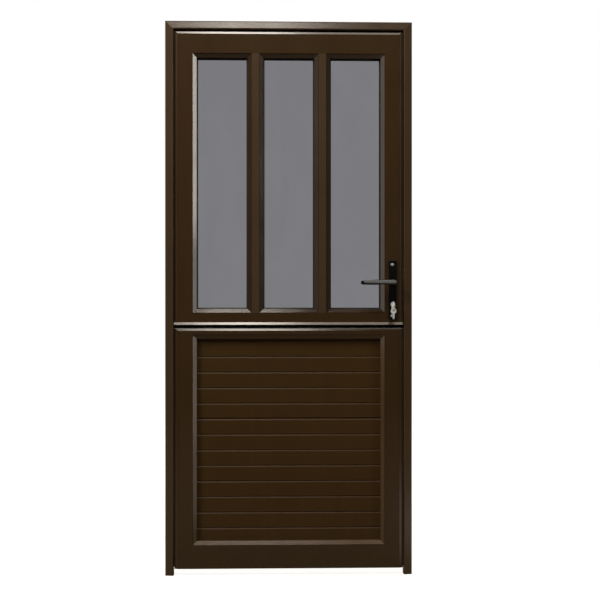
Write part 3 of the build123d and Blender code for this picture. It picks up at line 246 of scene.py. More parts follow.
class CoatSettings(bpy.types.PropertyGroup):
    """Colours and texture of the bronze coat on the extrusions and the hinges."""

    frame_colour: colour_property("Frame", "Bronze of the head and the jambs", (0.035, 0.0202, 0.0092))
    leaf_colour: colour_property("Leaves", "Bronze of the stiles and rails", (0.0262, 0.0132, 0.0043))
    # Painted light: a lighter copy of the leaves' bronze
    mullion_lit_colour: colour_property("Mullions", "Bronze of the mullions", (0.038, 0.0228, 0.0112))
    # Painted shade: a darker copy of the leaves' bronze
    glazing_bead_shaded_colour: colour_property("Beads", "Bronze of the glazing beads", (0.021, 0.0115, 0.005))
    slat_colour: colour_property("Slats", "Bronze of the lower panel's boards", (0.031, 0.0145, 0.0034))
    # Painted light: a lighter copy of the leaves' bronze for the beads round the boards
    panel_bead_lit_colour: colour_property("Panel beads", "Bronze round the boards", (0.046, 0.0235, 0.008))
    hinge_colour: colour_property("Hinges", "Bronze of the hinge wings", (0.027, 0.0145, 0.0055))
    dust_colour: colour_property("Dust", "Dry dust on ledges and near the foot", (0.22, 0.18, 0.135))
    shine_colour: colour_property("Shine tint", "Tint of reflections in the coat", (1.0, 0.92, 0.82))
    frame_roughness: share_property("Frame gloss", "Middle roughness of the frame", 0.21)
    frame_shine: share_property("Frame shine", "Strength of reflections in the frame", 0.3)
    gloss_roughness: share_property("Gloss", "Middle roughness of the leaves", 0.17)
    gloss_shine: share_property("Shine", "Strength of reflections in the glossy coat", 0.36)
    bead_roughness: share_property("Bead gloss", "Middle roughness of the glazing beads", 0.12)
    matt_roughness: share_property("Matt", "Middle roughness of the slats", 0.42)
    matt_shine: share_property("Matt shine", "Strength of reflections in the matt coat", 0.12)
    satin_roughness: share_property("Satin", "Middle roughness of the beads round the boards", 0.2)
    satin_shine: share_property("Satin shine", "Strength of reflections in the satin coat", 0.36)
    peel_size: length_property("Peel size", "Width of one dimple of the coat's orange peel", 1.6 * MM)
    peel_depth: length_property("Peel depth", "Depth of the dimples", 0.035 * MM)
    foot_height: length_property("Foot height", "How far up from the floor dust settles", 0.35)


class MetalSettings(bpy.types.PropertyGroup):
    """Colours of the ironmongery."""

    handle_colour: colour_property("Handles", "Black of levers and back plates", (0.0020, 0.0017, 0.0017))
    # Painted highlight: grey that stands in for the glint of the overhead light on the lever's upper front
    lever_highlight_grey: colour_property("Worn black", "Grey of the black where hands rub it", (0.15, 0.145, 0.137))
    nickel_colour: colour_property("Nickel", "Nickel of the cylinder and the keys", (0.86, 0.83, 0.78))
    zinc_colour: colour_property("Zinc", "Zinc plate of the lock and the bolts", (0.60, 0.61, 0.63))
    # Painted shade: dark brown that stands for the shade in the gap at the lock side
    dark_colour: colour_property("Dark plate", "Browned forend and strike", (0.055, 0.04, 0.028))
    bare_colour: colour_property("Aluminium", "Bare metal of the corner cleats", (0.62, 0.62, 0.63))


class GlazingSettings(bpy.types.PropertyGroup):
    """Colours of the glass and the rubber."""

    pane_colour: colour_property("Glass", "Grey that the panes let through", (0.2025, 0.2025, 0.217))
    rubber_colour: colour_property("Rubber", "Black of the gaskets and seals", (0.006, 0.0055, 0.0055))
    dust_colour: colour_property("Dust", "Dust on the rubber", (0.12, 0.105, 0.085))


class FixingSettings(bpy.types.PropertyGroup):
    """Shape of the screw heads and the split ring."""

    around: IntProperty(name="Around", description="Points round one screw", default=30, min=12)
    socket_share: share_property("Socket", "Reach of the socket over the reach of the head", 0.5)
    socket_depth_share: share_property("Socket depth", "Depth of the socket over the head's height", 0.7)
    pan_reach: length_property("Pan reach", "Points nearer than this belong to one screw", 9.0 * MM)
    sunk_radius: length_property("Sunk radius", "Reach of the sunk heads on forend and strike", 3.6 * MM)
    sunk_rise: length_property("Sunk rise", "Height of the sunk heads over the plate", 0.45 * MM)
    sunk_end_distance: length_property("Sunk ends", "From a plate's end to its screw", 10.0 * MM)
    ring_turns: IntProperty(name="Turns", description="Turns of the split ring", default=2, min=1)
    ring_rows: IntProperty(name="Rows", description="Rows along the split ring", default=200, min=40)


class StageSettings(bpy.types.PropertyGroup):
    """Camera, light and floor."""

    camera_place: FloatVectorProperty(
        name="Camera", description="Where the camera stands", default=(-0.0862, -4.5285, 1.0685),
        subtype="TRANSLATION", unit="LENGTH", size=3,
    )
    camera_yaw: angle_property("Yaw", "Turn towards the lock side", math.radians(1.639))
    camera_pitch: angle_property("Pitch", "Tilt upwards", math.radians(-0.129))
    focal_length: FloatProperty(name="Lens", description="Focal length in millimetres", default=70.24)
    room_colour: colour_property("Room", "Even light from all round", (0.08, 0.08, 0.08))
    floor_colour: colour_property("Floor", "Pale floor", (0.22, 0.192, 0.155))
    floor_roughness: share_property("Floor roughness", "Roughness of the floor", 0.9)
    floor_shine: share_property("Floor shine", "Strength of reflections in the floor", 0.1)
    floor_glow: share_property("Glow", "White that the floor near the door adds for the lens", 0.845)
    mirror_glow: share_property("Mirrored", "White that reflections show behind the door", 0.28)
    side_glow: share_property("Mirrored side", "White that reflections show at the lock side", 1.0)
    near_power: power_property("Near", "Soft box close before the door", 40.0)
    far_power: power_property("Far", "Soft box far before the door", 56.0)
    wide_power: power_property("Wide", "Wide weak box over the door", 34.0)
    fill_power: power_property("Fill", "Panel high before the hinge side", 170.0)
    right_power: power_property("Right", "Strip at the lock side", 27.0)
    low_power: power_property("Low", "Strip under the first", 7.3)
    left_power: power_property("Left", "Panel at the hinge side", 7.0)
    rear_power: power_property("Rear", "Soft box behind the door", 260.0)


# Node helpers

def add_node(tree, kind, values=None, **settings):
    """One shader node with its settings, and its inputs set or linked by name or number."""
    made = tree.nodes.new(kind)
    for name, value in settings.items():
        setattr(made, name, value)
    for name, value in (values or {}).items():
        if isinstance(value, bpy.types.NodeSocket):
            tree.links.new(value, made.inputs[name])
        else:
            made.inputs[name].default_value = value
    return made


def math_node(tree, operation, first, second=0.0, clamp=False):
    """The output of one sum."""
    values = {0: first, 1: second}
    return add_node(tree, "ShaderNodeMath", values, operation=operation, use_clamp=clamp).outputs[0]


def spread(tree, value, low, high, to_low=0.0, to_high=1.0):
    """A value moved from one range to another, held at the ends."""
    values = {"Value": value, "From Min": low, "From Max": high, "To Min": to_low, "To Max": to_high}
    return add_node(tree, "ShaderNodeMapRange", values).outputs[0]


def mix_colours(tree, share, first, second):
    """A colour between two others."""
    made = add_node(tree, "ShaderNodeMix", {0: share}, data_type="RGBA")
    for place, value in ((6, first), (7, second)):
        if isinstance(value, bpy.types.NodeSocket):
            tree.links.new(value, made.inputs[place])
        else:
            made.inputs[place].default_value = (*value, 1.0)
    return made.outputs[2]


def own_place(tree, stretch=EVEN_SHARES):
    """The object's own coordinates, stretched along each axis."""
    place = add_node(tree, "ShaderNodeTexCoord").outputs["Object"]
    return add_node(tree, "ShaderNodeMapping", {"Vector": place, "Scale": stretch}).outputs[0]


def parts_of(tree, vector):
    """The three parts of a vector."""
    return add_node(tree, "ShaderNodeSeparateXYZ", {0: vector}).outputs


def upward(tree):
    """How far the surface looks up, from minus one to one."""
    return parts_of(tree, add_node(tree, "ShaderNodeNewGeometry").outputs["Normal"])[2]


def noise(tree, kind, scale=None):
    """One of the noises as it comes, at its own scale or at one that is given."""
    stretch, settings = NOISES[kind]
    values = {"Vector": own_place(tree, stretch), **settings}
    if scale is not None:
        values["Scale"] = scale
    return add_node(tree, "ShaderNodeTexNoise", values).outputs[0]


def noise_mask(tree, kind, scale=None):
    """One of the noises with its middle range spread from nought to one."""
    return spread(tree, noise(tree, kind, scale), *NOISE_RANGE_SHARES[kind])


def bump(tree, surface, height, depth):
    """Bumps the surface by a height of that depth in metres."""
    made = add_node(tree, "ShaderNodeBump", {"Height": height, "Distance": depth})
    tree.links.new(made.outputs[0], surface.inputs["Normal"])


# Node groups

def new_group(name, inputs, outputs):
    """An empty shader group with number inputs and outputs: the tree, its inputs and its end node."""
    tree = bpy.data.node_groups.new(name, "ShaderNodeTree")
    for label in inputs:
        tree.interface.new_socket(name=label, in_out="INPUT", socket_type="NodeSocketFloat")
    for label in outputs:
        tree.interface.new_socket(name=label, in_out="OUTPUT", socket_type="NodeSocketFloat")
    start = tree.nodes.new("NodeGroupInput")
    end = tree.nodes.new("NodeGroupOutput")
    return tree, start.outputs, end


def build_coat_group():
    """Powder coat: slow clouds of shade, fine dimples of orange peel and faint streaks that run down."""
    tree, given, end = new_group("powder_coat", ("Peel Scale",), ("Shade", "Peel", "Streak"))
    tree.links.new(noise_mask(tree, "clouds"), end.inputs["Shade"])
    tree.links.new(noise(tree, "peel", given["Peel Scale"]), end.inputs["Peel"])
    tree.links.new(noise_mask(tree, "runs"), end.inputs["Streak"])
    return tree


def build_dust_group():
    """Dust: most on faces that look up, some near the floor, broken by a fine noise."""
    tree, given, end = new_group("ledge_dust", ("Ledge", "Foot", "Foot Height"), ("Mask",))
    ledge = math_node(tree, "MULTIPLY", spread(tree, upward(tree), *LEDGE_UPWARD_SHARES), given["Ledge"])
    height = parts_of(tree, own_place(tree))[2]
    low = math_node(tree, "DIVIDE", height, given["Foot Height"])
    foot = math_node(tree, "MULTIPLY", spread(tree, low, 1.0, 0.0), given["Foot"])
    both = math_node(tree, "ADD", ledge, foot, True)
    tree.links.new(math_node(tree, "MULTIPLY", both, noise_mask(tree, "grains")), end.inputs["Mask"])
    return tree


def build_brush_group():
    """Brushed metal: noise drawn out along one axis, with slow clouds of handling over it."""
    tree, given, end = new_group("brushed_metal", ("Line Scale",), ("Lines", "Handling"))
    tree.links.new(noise_mask(tree, "lines", given["Line Scale"]), end.inputs["Lines"])
    tree.links.new(noise_mask(tree, "handling"), end.inputs["Handling"])
    return tree


def build_smear_group():
    """Smears on smooth faces: wide soft wipes and small specks, one mask each."""
    tree, given, end = new_group("wipe_marks", ("Wipe Scale",), ("Wipe", "Specks"))
    specks = add_node(tree, "ShaderNodeTexVoronoi", {"Vector": own_place(tree), "Scale": SPECK_SCALE})
    tree.links.new(noise_mask(tree, "wipes", given["Wipe Scale"]), end.inputs["Wipe"])
    tree.links.new(spread(tree, specks.outputs[0], *NOISE_RANGE_SHARES["specks"]), end.inputs["Specks"])
    return tree


GROUP_BUILDERS = {
    "powder_coat": build_coat_group,
    "ledge_dust": build_dust_group,
    "brushed_metal": build_brush_group,
    "wipe_marks": build_smear_group,
}


def use_group(tree, name, **values):
    """A placed copy of a shared group, built the first time it is asked for."""
    group = bpy.data.node_groups.get(name) or GROUP_BUILDERS[name]()
    placed = add_node(tree, "ShaderNodeGroup", node_tree=group)
    for label, value in values.items():
        placed.inputs[label.replace("_", " ")].default_value = value
    return placed.outputs


def use_dust(tree, ledge, foot):
    """The mask of dust for these shares on the ledges and at the foot."""
    height = bpy.context.scene.door_coats.foot_height
    return use_group(tree, "ledge_dust", Ledge=ledge, Foot=foot, Foot_Height=height)["Mask"]


# Materials

def new_material(name):
    """An empty node material: itself, its tree and its surface shader."""
    material = bpy.data.materials.new(name)
    material.use_nodes = True
    tree = material.node_tree
    return material, tree, tree.nodes["Principled BSDF"]


def shade_of(colour, level):
    """A colour made lighter or darker."""
    return tuple(min(1.0, part * level) for part in colour)


def vary_colour(tree, mask, colour, levels):
    """A colour that goes from its darkest to its lightest level with a mask."""
    darkest, lightest = levels
    return mix_colours(tree, mask, shade_of(colour, darkest), shade_of(colour, lightest))


def vary_roughness(tree, mask, roughness, strays):
    """A roughness that strays to both sides with a mask."""
    less, more = strays
    return spread(tree, mask, 0.0, 1.0, roughness + less, roughness + more)


def coat_material(name, colour, roughness, shine, ledge, foot):
    """Bronze coat: clouded colour, streaks, dust on the ledges and orange peel."""
    settings = bpy.context.scene.door_coats
    material, tree, surface = new_material(name)
    coat = use_group(tree, "powder_coat", Peel_Scale=1.0 / settings.peel_size)
    dust = use_dust(tree, ledge, foot)
    clouded = vary_colour(tree, coat["Shade"], colour, COAT_LEVEL_SHARES)
    streak = math_node(tree, "MULTIPLY", coat["Streak"], STREAK_SHARE)
    streaked = mix_colours(tree, streak, clouded, shade_of(colour, STREAK_LEVEL_SHARE))
    tree.links.new(mix_colours(tree, dust, streaked, settings.dust_colour), surface.inputs["Base Color"])
    gloss = vary_roughness(tree, coat["Shade"], roughness, COAT_STRAY_SHARES)
    dulling = math_node(tree, "MULTIPLY", dust, DUST_DULL_SHARE)
    tree.links.new(math_node(tree, "ADD", gloss, dulling, True), surface.inputs["Roughness"])
    surface.inputs["Specular IOR Level"].default_value = shine
    surface.inputs["Specular Tint"].default_value = (*settings.shine_colour, 1.0)
    bump(tree, surface, coat["Peel"], settings.peel_depth)
    return material


def metal_material(name, colour, roughness, line_scale, line_depth):
    """Plated or bare metal: drawn lines in colour and gloss, handling clouds in the roughness."""
    material, tree, surface = new_material(name)
    brush = use_group(tree, "brushed_metal", Line_Scale=line_scale)
    toned = vary_colour(tree, brush["Lines"], colour, METAL_LEVEL_SHARES)
    handled = math_node(tree, "MULTIPLY", brush["Handling"], HANDLED_SHARE)
    dulled = mix_colours(tree, handled, toned, shade_of(colour, HANDLED_LEVEL_SHARE))
    tree.links.new(dulled, surface.inputs["Base Color"])
    gloss = vary_roughness(tree, brush["Handling"], roughness, METAL_STRAY_SHARES)
    tree.links.new(gloss, surface.inputs["Roughness"])
    surface.inputs["Metallic"].default_value = 1.0
    bump(tree, surface, brush["Lines"], line_depth)
    return material


def black_material(name, roughness, shine, painted_highlight_share):
    """Black: fine coat texture, wipes that polish it in places, and a painted highlight in grey on its upper
    front.
    """
    settings = bpy.context.scene.door_metals
    material, tree, surface = new_material(name)
    coat = use_group(tree, "powder_coat", Peel_Scale=BLACK_PEEL_SCALE)
    wipes = use_group(tree, "wipe_marks", Wipe_Scale=BLACK_WIPE_SCALE)
    plain = vary_colour(tree, coat["Shade"], settings.handle_colour, BLACK_LEVEL_SHARES)
    # Painted highlight: grey laid on faces that look a little upward, fading off on the top
    front = spread(tree, upward(tree), *HIGHLIGHT_START_SHARES)
    fading = spread(tree, upward(tree), *HIGHLIGHT_END_SHARES, painted_highlight_share, painted_highlight_share * HIGHLIGHT_TOP_SHARE)
    painted_highlight_mask = math_node(tree, "MULTIPLY", front, fading)
    tree.links.new(mix_colours(tree, painted_highlight_mask, plain, settings.lever_highlight_grey), surface.inputs["Base Color"])
    gloss = vary_roughness(tree, wipes["Wipe"], roughness, BLACK_STRAY_SHARES)
    tree.links.new(gloss, surface.inputs["Roughness"])
    surface.inputs["Specular IOR Level"].default_value = shine
    bump(tree, surface, coat["Peel"], BLACK_PEEL_DEPTH)
    return material


def rubber_material(name, colour, dust_colour):
    """Dull rubber: fine grain, dusted where it looks up."""
    material, tree, surface = new_material(name)
    coat = use_group(tree, "powder_coat", Peel_Scale=RUBBER_PEEL_SCALE)
    dust = use_dust(tree, *RUBBER_DUST_SHARES)
    plain = vary_colour(tree, coat["Shade"], colour, RUBBER_LEVEL_SHARES)
    tree.links.new(mix_colours(tree, dust, plain, dust_colour), surface.inputs["Base Color"])
    dull = spread(tree, coat["Shade"], 0.0, 1.0, *RUBBER_ROUGHNESS_SHARES)
    tree.links.new(dull, surface.inputs["Roughness"])
    surface.inputs["Specular IOR Level"].default_value = RUBBER_SHINE_SHARE
    bump(tree, surface, coat["Peel"], RUBBER_PEEL_DEPTH)
    return material


def glass_material(name, colour):
    """Grey glass: clear, with faint wipes and specks that dull its face."""
    material, tree, surface = new_material(name)
    marks = use_group(tree, "wipe_marks", Wipe_Scale=GLASS_WIPE_SCALE)
    toned = vary_colour(tree, marks["Wipe"], colour, GLASS_LEVEL_SHARES)
    tree.links.new(toned, surface.inputs["Base Color"])
    specks = math_node(tree, "MULTIPLY", marks["Specks"], SPECK_HAZE_SHARE)
    wipes = math_node(tree, "MULTIPLY", marks["Wipe"], WIPE_HAZE_SHARE)
    tree.links.new(math_node(tree, "ADD", specks, wipes), surface.inputs["Roughness"])
    surface.inputs["IOR"].default_value = GLASS_BENDING
    surface.inputs["Transmission Weight"].default_value = 1.0
    return material


def dress(nodes, material):
    """Gives CAD nodes one material in place of the plain one they came with."""
    for node in nodes:
        mesh = NODES[node].data
        mesh.materials.clear()
        mesh.materials.append(material)


def lay_coat(name):
    """Gives the nodes of one of the coats their bronze."""
    nodes, colour, roughness, shine, ledge, foot = COATS[name]
    settings = bpy.context.scene.door_coats
    values = [getattr(settings, setting) for setting in (colour, roughness, shine)]
    dress(nodes, coat_material(name, *values, ledge, foot))


def lay_metal(name):
    """Gives the nodes of one of the metals their plate."""
    nodes, colour, *finish = METALS[name]
    dress(nodes, metal_material(name, getattr(bpy.context.scene.door_metals, colour), *finish))


# Surfaces

def turned_faces(rings, around, count, first=0):
    """Faces of turned solids with a point at each end: two fans and the quads between the rings, per solid,
    with the points numbered from the first."""
    step = np.arange(around)
    after = (step + 1) % around
    row = 1 + np.arange(rings - 1)[:, None] * around
    corners = [row + step, row + after, row + around + after, row + around + step]
    quads = np.stack(corners, axis=-1).reshape(-1, 4)
    last = 1 + (rings - 1) * around
    start_fan = np.stack([np.zeros(around, int), 1 + after, 1 + step], axis=-1)
    end_fan = np.stack([last + step, last + after, np.full(around, last + around)], axis=-1)
    shift = first + (np.arange(count) * (last + around + 1))[:, None, None]
    fans = (np.concatenate([start_fan, end_fan]) + shift).reshape(-1, 3)
    return (quads + shift).reshape(-1, 4).tolist() + fans.tolist()


def turned_points(profile, six_sided, around, places, axes):
    """Points of turned solids: each ring lies at its height along the axis, at its radius times one, or times
    the reach of a hexagon at that angle, cos 30 over cos of the angle from the nearest flat."""
    radius, height = profile[:, 0], profile[:, 1]
    angle = np.arange(around) * 2.0 * np.pi / around
    half_step = HEXAGON_STEP / 2.0
    flat = (angle + half_step) % HEXAGON_STEP - half_step
    hexagon = np.cos(half_step) / np.cos(flat)
    reach = radius[1:-1, None] * np.where(six_sided[1:-1, None], hexagon, 1.0)
    across, along, out = (np.array(axis, float) for axis in axes)
    rings = (
        (reach * np.cos(angle))[..., None] * across
        + (reach * np.sin(angle))[..., None] * along
        + height[1:-1, None, None] * out
    ).reshape(-1, 3)
    one = np.concatenate([[height[0] * out], rings, [height[-1] * out]])
    return (np.asarray(places)[:, None, :] + one).reshape(-1, 3)


def lay_piece(name, points, faces, body, material):
    """Puts points and faces into a smooth mesh that rides on a body."""
    mesh = bpy.data.meshes.new(name)
    mesh.from_pydata(points.tolist(), [], faces)
    mesh.materials.append(material)
    mesh.shade_smooth()
    mesh.set_sharp_from_angle(angle=SHARP_ANGLE)
    piece = bpy.data.objects.new(name, mesh)
    bpy.context.scene.collection.objects.link(piece)
    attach(piece, body)
    return piece


def node_points(node):
    """The corner points of a CAD node as an array."""
    mesh = NODES[node].data
    points = np.empty(len(mesh.vertices) * 3)
    mesh.vertices.foreach_get("co", points)
    return points.reshape(-1, 3)


def screw_boxes(node, reach):
    """Lowest and highest corners of the screws in a node: points within reach across Y are one screw."""
    points = node_points(node)
    lowest, highest = [], []
    while len(points):
        near = np.hypot(points[:, 0] - points[0, 0], points[:, 2] - points[0, 2]) < reach
        lowest.append(points[near].min(axis=0))
        highest.append(points[near].max(axis=0))
        points = points[~near]
    return np.array(lowest), np.array(highest)


def screw_head(node, low, high):
    """Radius and height of a screw's head: its height goes from its top to the lowest points of its rear half
    that lie out at the head's radius."""
    points = node_points(node)
    centre = (low + high) / 2.0
    radius = (high[0] - low[0]) / 2.0
    reach = np.hypot(points[:, 0] - centre[0], points[:, 2] - centre[2])
    least, most = (radius * share for share in HEAD_RIM_SHARES)
    rim = points[(reach > least) & (reach < most) & (points[:, 1] > centre[1]), 1]
    return radius, rim.max() - rim.min()


def screw_profile(head_radius, head_height, shank_length, settings):
    """Side view of a pan screw as radius and height, from the tip of the shank up over the head to the floor
    of its socket, and which rings are six sided."""
    shank = head_radius * SHANK_SHARE
    bevel = shank * SHANK_BEVEL_SHARE
    socket = head_radius * settings.socket_share
    floor = head_height * (1.0 - settings.socket_depth_share)
    rows = [(0.0, -shank_length), (bevel, -shank_length), (shank, bevel - shank_length), (shank, 0.0)]
    rows += [(head_radius * out, head_height * up) for out, up in HEAD_ROW_SHARES]
    rows += [(socket * SOCKET_RIM_SHARE, head_height)]
    round_rows = len(rows)
    rows += [(socket, head_height * SOCKET_EDGE_SHARE), (socket, floor)]
    rows += [(socket * out, floor - head_height * down) for out, down in SOCKET_CONE_SHARES]
    return np.array(rows), np.arange(len(rows)) >= round_rows


def screw_surfaces(places, facing, sizes, settings, first=0):
    """Points and faces of like screws at some places, all facing one way."""
    profile, six_sided = screw_profile(*sizes, settings)
    points = turned_points(profile, six_sided, settings.around, places, HEAD_AXES[facing])
    return points, turned_faces(len(profile) - 2, settings.around, len(places), first)


# Operators

class DOOR_OT_coat_frame(bpy.types.Operator):
    """Coat the head and the jambs, and finish the cleats in the corners."""

    bl_idname = "stable_door.coat_frame"
    bl_label = "Coat Frame"

    def execute(self, context):
        lay_coat("frame_bronze")
        lay_metal("cleat_aluminium")
        return {"FINISHED"}


class DOOR_OT_coat_leaves(bpy.types.Operator):
    """Coat the stiles, rails, mullions, beads and slats of both leaves."""

    bl_idname = "stable_door.coat_leaves"
    bl_label = "Coat Leaves"

    def execute(self, context):
        for name in LEAF_COATS:
            lay_coat(name)
        return {"FINISHED"}


class DOOR_OT_glaze(bpy.types.Operator):
    """Give the panes their grey glass and the gaskets and seals their rubber."""

    bl_idname = "stable_door.glaze"
    bl_label = "Glaze"

    def execute(self, context):
        glazing = context.scene.door_glazing
        dress(PANE_NODES, glass_material("pane_grey", glazing.pane_colour))
        dress(RUBBER_NODES, rubber_material("seal_black", glazing.rubber_colour, glazing.dust_colour))
        return {"FINISHED"}


class DOOR_OT_finish_ironmongery(bpy.types.Operator):
    """Finish the hinges, levers, lock, cylinder, keys and barrel bolts."""

    bl_idname = "stable_door.finish_ironmongery"
    bl_label = "Finish Ironmongery"

    def execute(self, context):
        lay_coat("hinge_bronze")
        for name, (nodes, *finish) in BLACKS.items():
            dress(nodes, black_material(name, *finish))
        for name in LOCK_METALS:
            lay_metal(name)
        return {"FINISHED"}


class DOOR_OT_make_screws(bpy.types.Operator):
    """Make the pan screws, the through bolts and the sunk screws with their sockets."""

    bl_idname = "stable_door.make_screws"
    bl_label = "Make Screws"

    def execute(self, context):
        settings = context.scene.door_fixings
        zinc = bpy.data.materials["zinc_plate"]
        for node, body in SCREW_BODIES.items():
            self.pan_screws(node, body, settings, zinc)
        self.through_bolts(settings, zinc)
        self.sunk_screws("lock_forend", "upper_leaf", "+X", settings, zinc)
        self.sunk_screws("strike_plate", "frame", "-X", settings, zinc)
        return {"FINISHED"}

    def pan_screws(self, node, body, settings, material):
        """One piece for all the pan screws of a node, whose heads face the rear."""
        low, high = screw_boxes(node, settings.pan_reach)
        radius, height = screw_head(node, low[0], high[0])
        middle = (low + high) / 2.0
        places = np.column_stack([middle[:, 0], high[:, 1] - height, middle[:, 2]])
        shank = (high[0, 1] - low[0, 1]) - height
        points, faces = screw_surfaces(places, "+Y", (radius, height, shank), settings)
        piece = lay_piece(node + "_detailed", points, faces, body, material)
        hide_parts(node)

    def through_bolts(self, settings, material):
        """Two bolts through the back plates: a socket head at the front, a sleeve nut's head at the rear."""
        low, high = screw_boxes("plate_bolts", settings.pan_reach)
        radius, height = screw_head("plate_bolts", low[0], high[0])
        middle = (low + high) / 2.0
        shank = (high[0, 1] - low[0, 1]) / 2.0 - height
        seat = np.array([0.0, shank, 0.0])
        sizes = (radius, height, shank)
        points, faces = screw_surfaces(middle - seat, "-Y", sizes, settings)
        rear_points, rear_faces = screw_surfaces(middle + seat, "+Y", sizes, settings, len(points))
        piece = lay_piece(
            "plate_bolts_detailed", np.concatenate([points, rear_points]), faces + rear_faces,
            "upper_leaf", material,
        )
        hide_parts("plate_bolts")

    def sunk_screws(self, plate, body, facing, settings, material):
        """Two sunk screws near the ends of a plate, standing a hair over its face."""
        low, high = (np.array(corner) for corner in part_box(plate))
        face = high[0] if facing == "+X" else low[0]
        depth = (low[1] + high[1]) / 2.0
        ends = [low[2] + settings.sunk_end_distance, high[2] - settings.sunk_end_distance]
        places = np.array([[face, depth, end] for end in ends])
        sizes = (settings.sunk_radius, settings.sunk_rise, settings.sunk_rise)
        points, faces = screw_surfaces(places, facing, sizes, settings)
        lay_piece(plate + "_screws", points, faces, body, material)


class DOOR_OT_wind_ring(bpy.types.Operator):
    """Wind the split ring that carries the spare key."""

    bl_idname = "stable_door.wind_ring"
    bl_label = "Wind Split Ring"

    wire_sides = 12
    jog_share = 0.06
    taper_share = 0.015
    section_share = 0.94

    def execute(self, context):
        points, faces = self.coil(context.scene.door_fixings)
        nickel = bpy.data.materials["nickel_plate"]
        piece = lay_piece("split_ring", points, faces, "spare_key", nickel)
        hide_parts("key_ring")
        return {"FINISHED"}

    def coil(self, settings):
        """A wire wound in flat turns side by side: the angle runs evenly round the turns, the shift along the
        axis steps from one turn to the next by a smooth jog, and the oval section shrinks to a point at both
        ends."""
        cloud = node_points("key_ring")
        low, high = cloud.min(axis=0), cloud.max(axis=0)
        centre = (low + high) / 2.0
        lean = np.sign(np.sum((cloud[:, 0] - centre[0]) * (cloud[:, 1] - centre[1])))
        level = np.array([1.0, lean, 0.0]) / math.sqrt(2.0)
        upright = np.array([0.0, 0.0, 1.0])
        axis = np.cross(level, upright)
        offset = (cloud - centre) @ axis
        wire = (offset.max() - offset.min()) / 2.0
        radius = (high[2] - low[2]) / 2.0 - wire
        share = np.linspace(0.0, 1.0, settings.ring_rows)
        turn = share * settings.ring_turns
        whole = np.floor(turn)
        jog = np.clip((turn - whole - 1.0 + self.jog_share) / self.jog_share, 0.0, 1.0)
        step = np.minimum(whole + jog * jog * (3.0 - 2.0 * jog), settings.ring_turns - 1.0)
        flat = wire / settings.ring_turns
        shift = -wire + flat + 2.0 * flat * step
        ends = np.minimum(share, 1.0 - share) / self.taper_share
        size = np.sqrt(np.clip(1.0 - np.clip(1.0 - ends, 0.0, 1.0) ** 2, 0.0, 1.0))
        angle = turn * 2.0 * np.pi
        out = np.cos(angle)[:, None] * level + np.sin(angle)[:, None] * upright
        around = np.arange(self.wire_sides) * 2.0 * np.pi / self.wire_sides
        across = size[:, None] * np.cos(around) * wire * self.section_share
        along = size[:, None] * np.sin(around) * flat * self.section_share
        rings = (
            centre + out[:, None, :] * (radius + across)[..., None]
            + axis * (shift[:, None] + along)[..., None]
        )
        tip, tail = rings[0].mean(axis=0), rings[-1].mean(axis=0)
        inner = rings[1:-1]
        points = np.concatenate([[tip], inner.reshape(-1, 3), [tail]])
        return points, turned_faces(len(inner), self.wire_sides, 1)


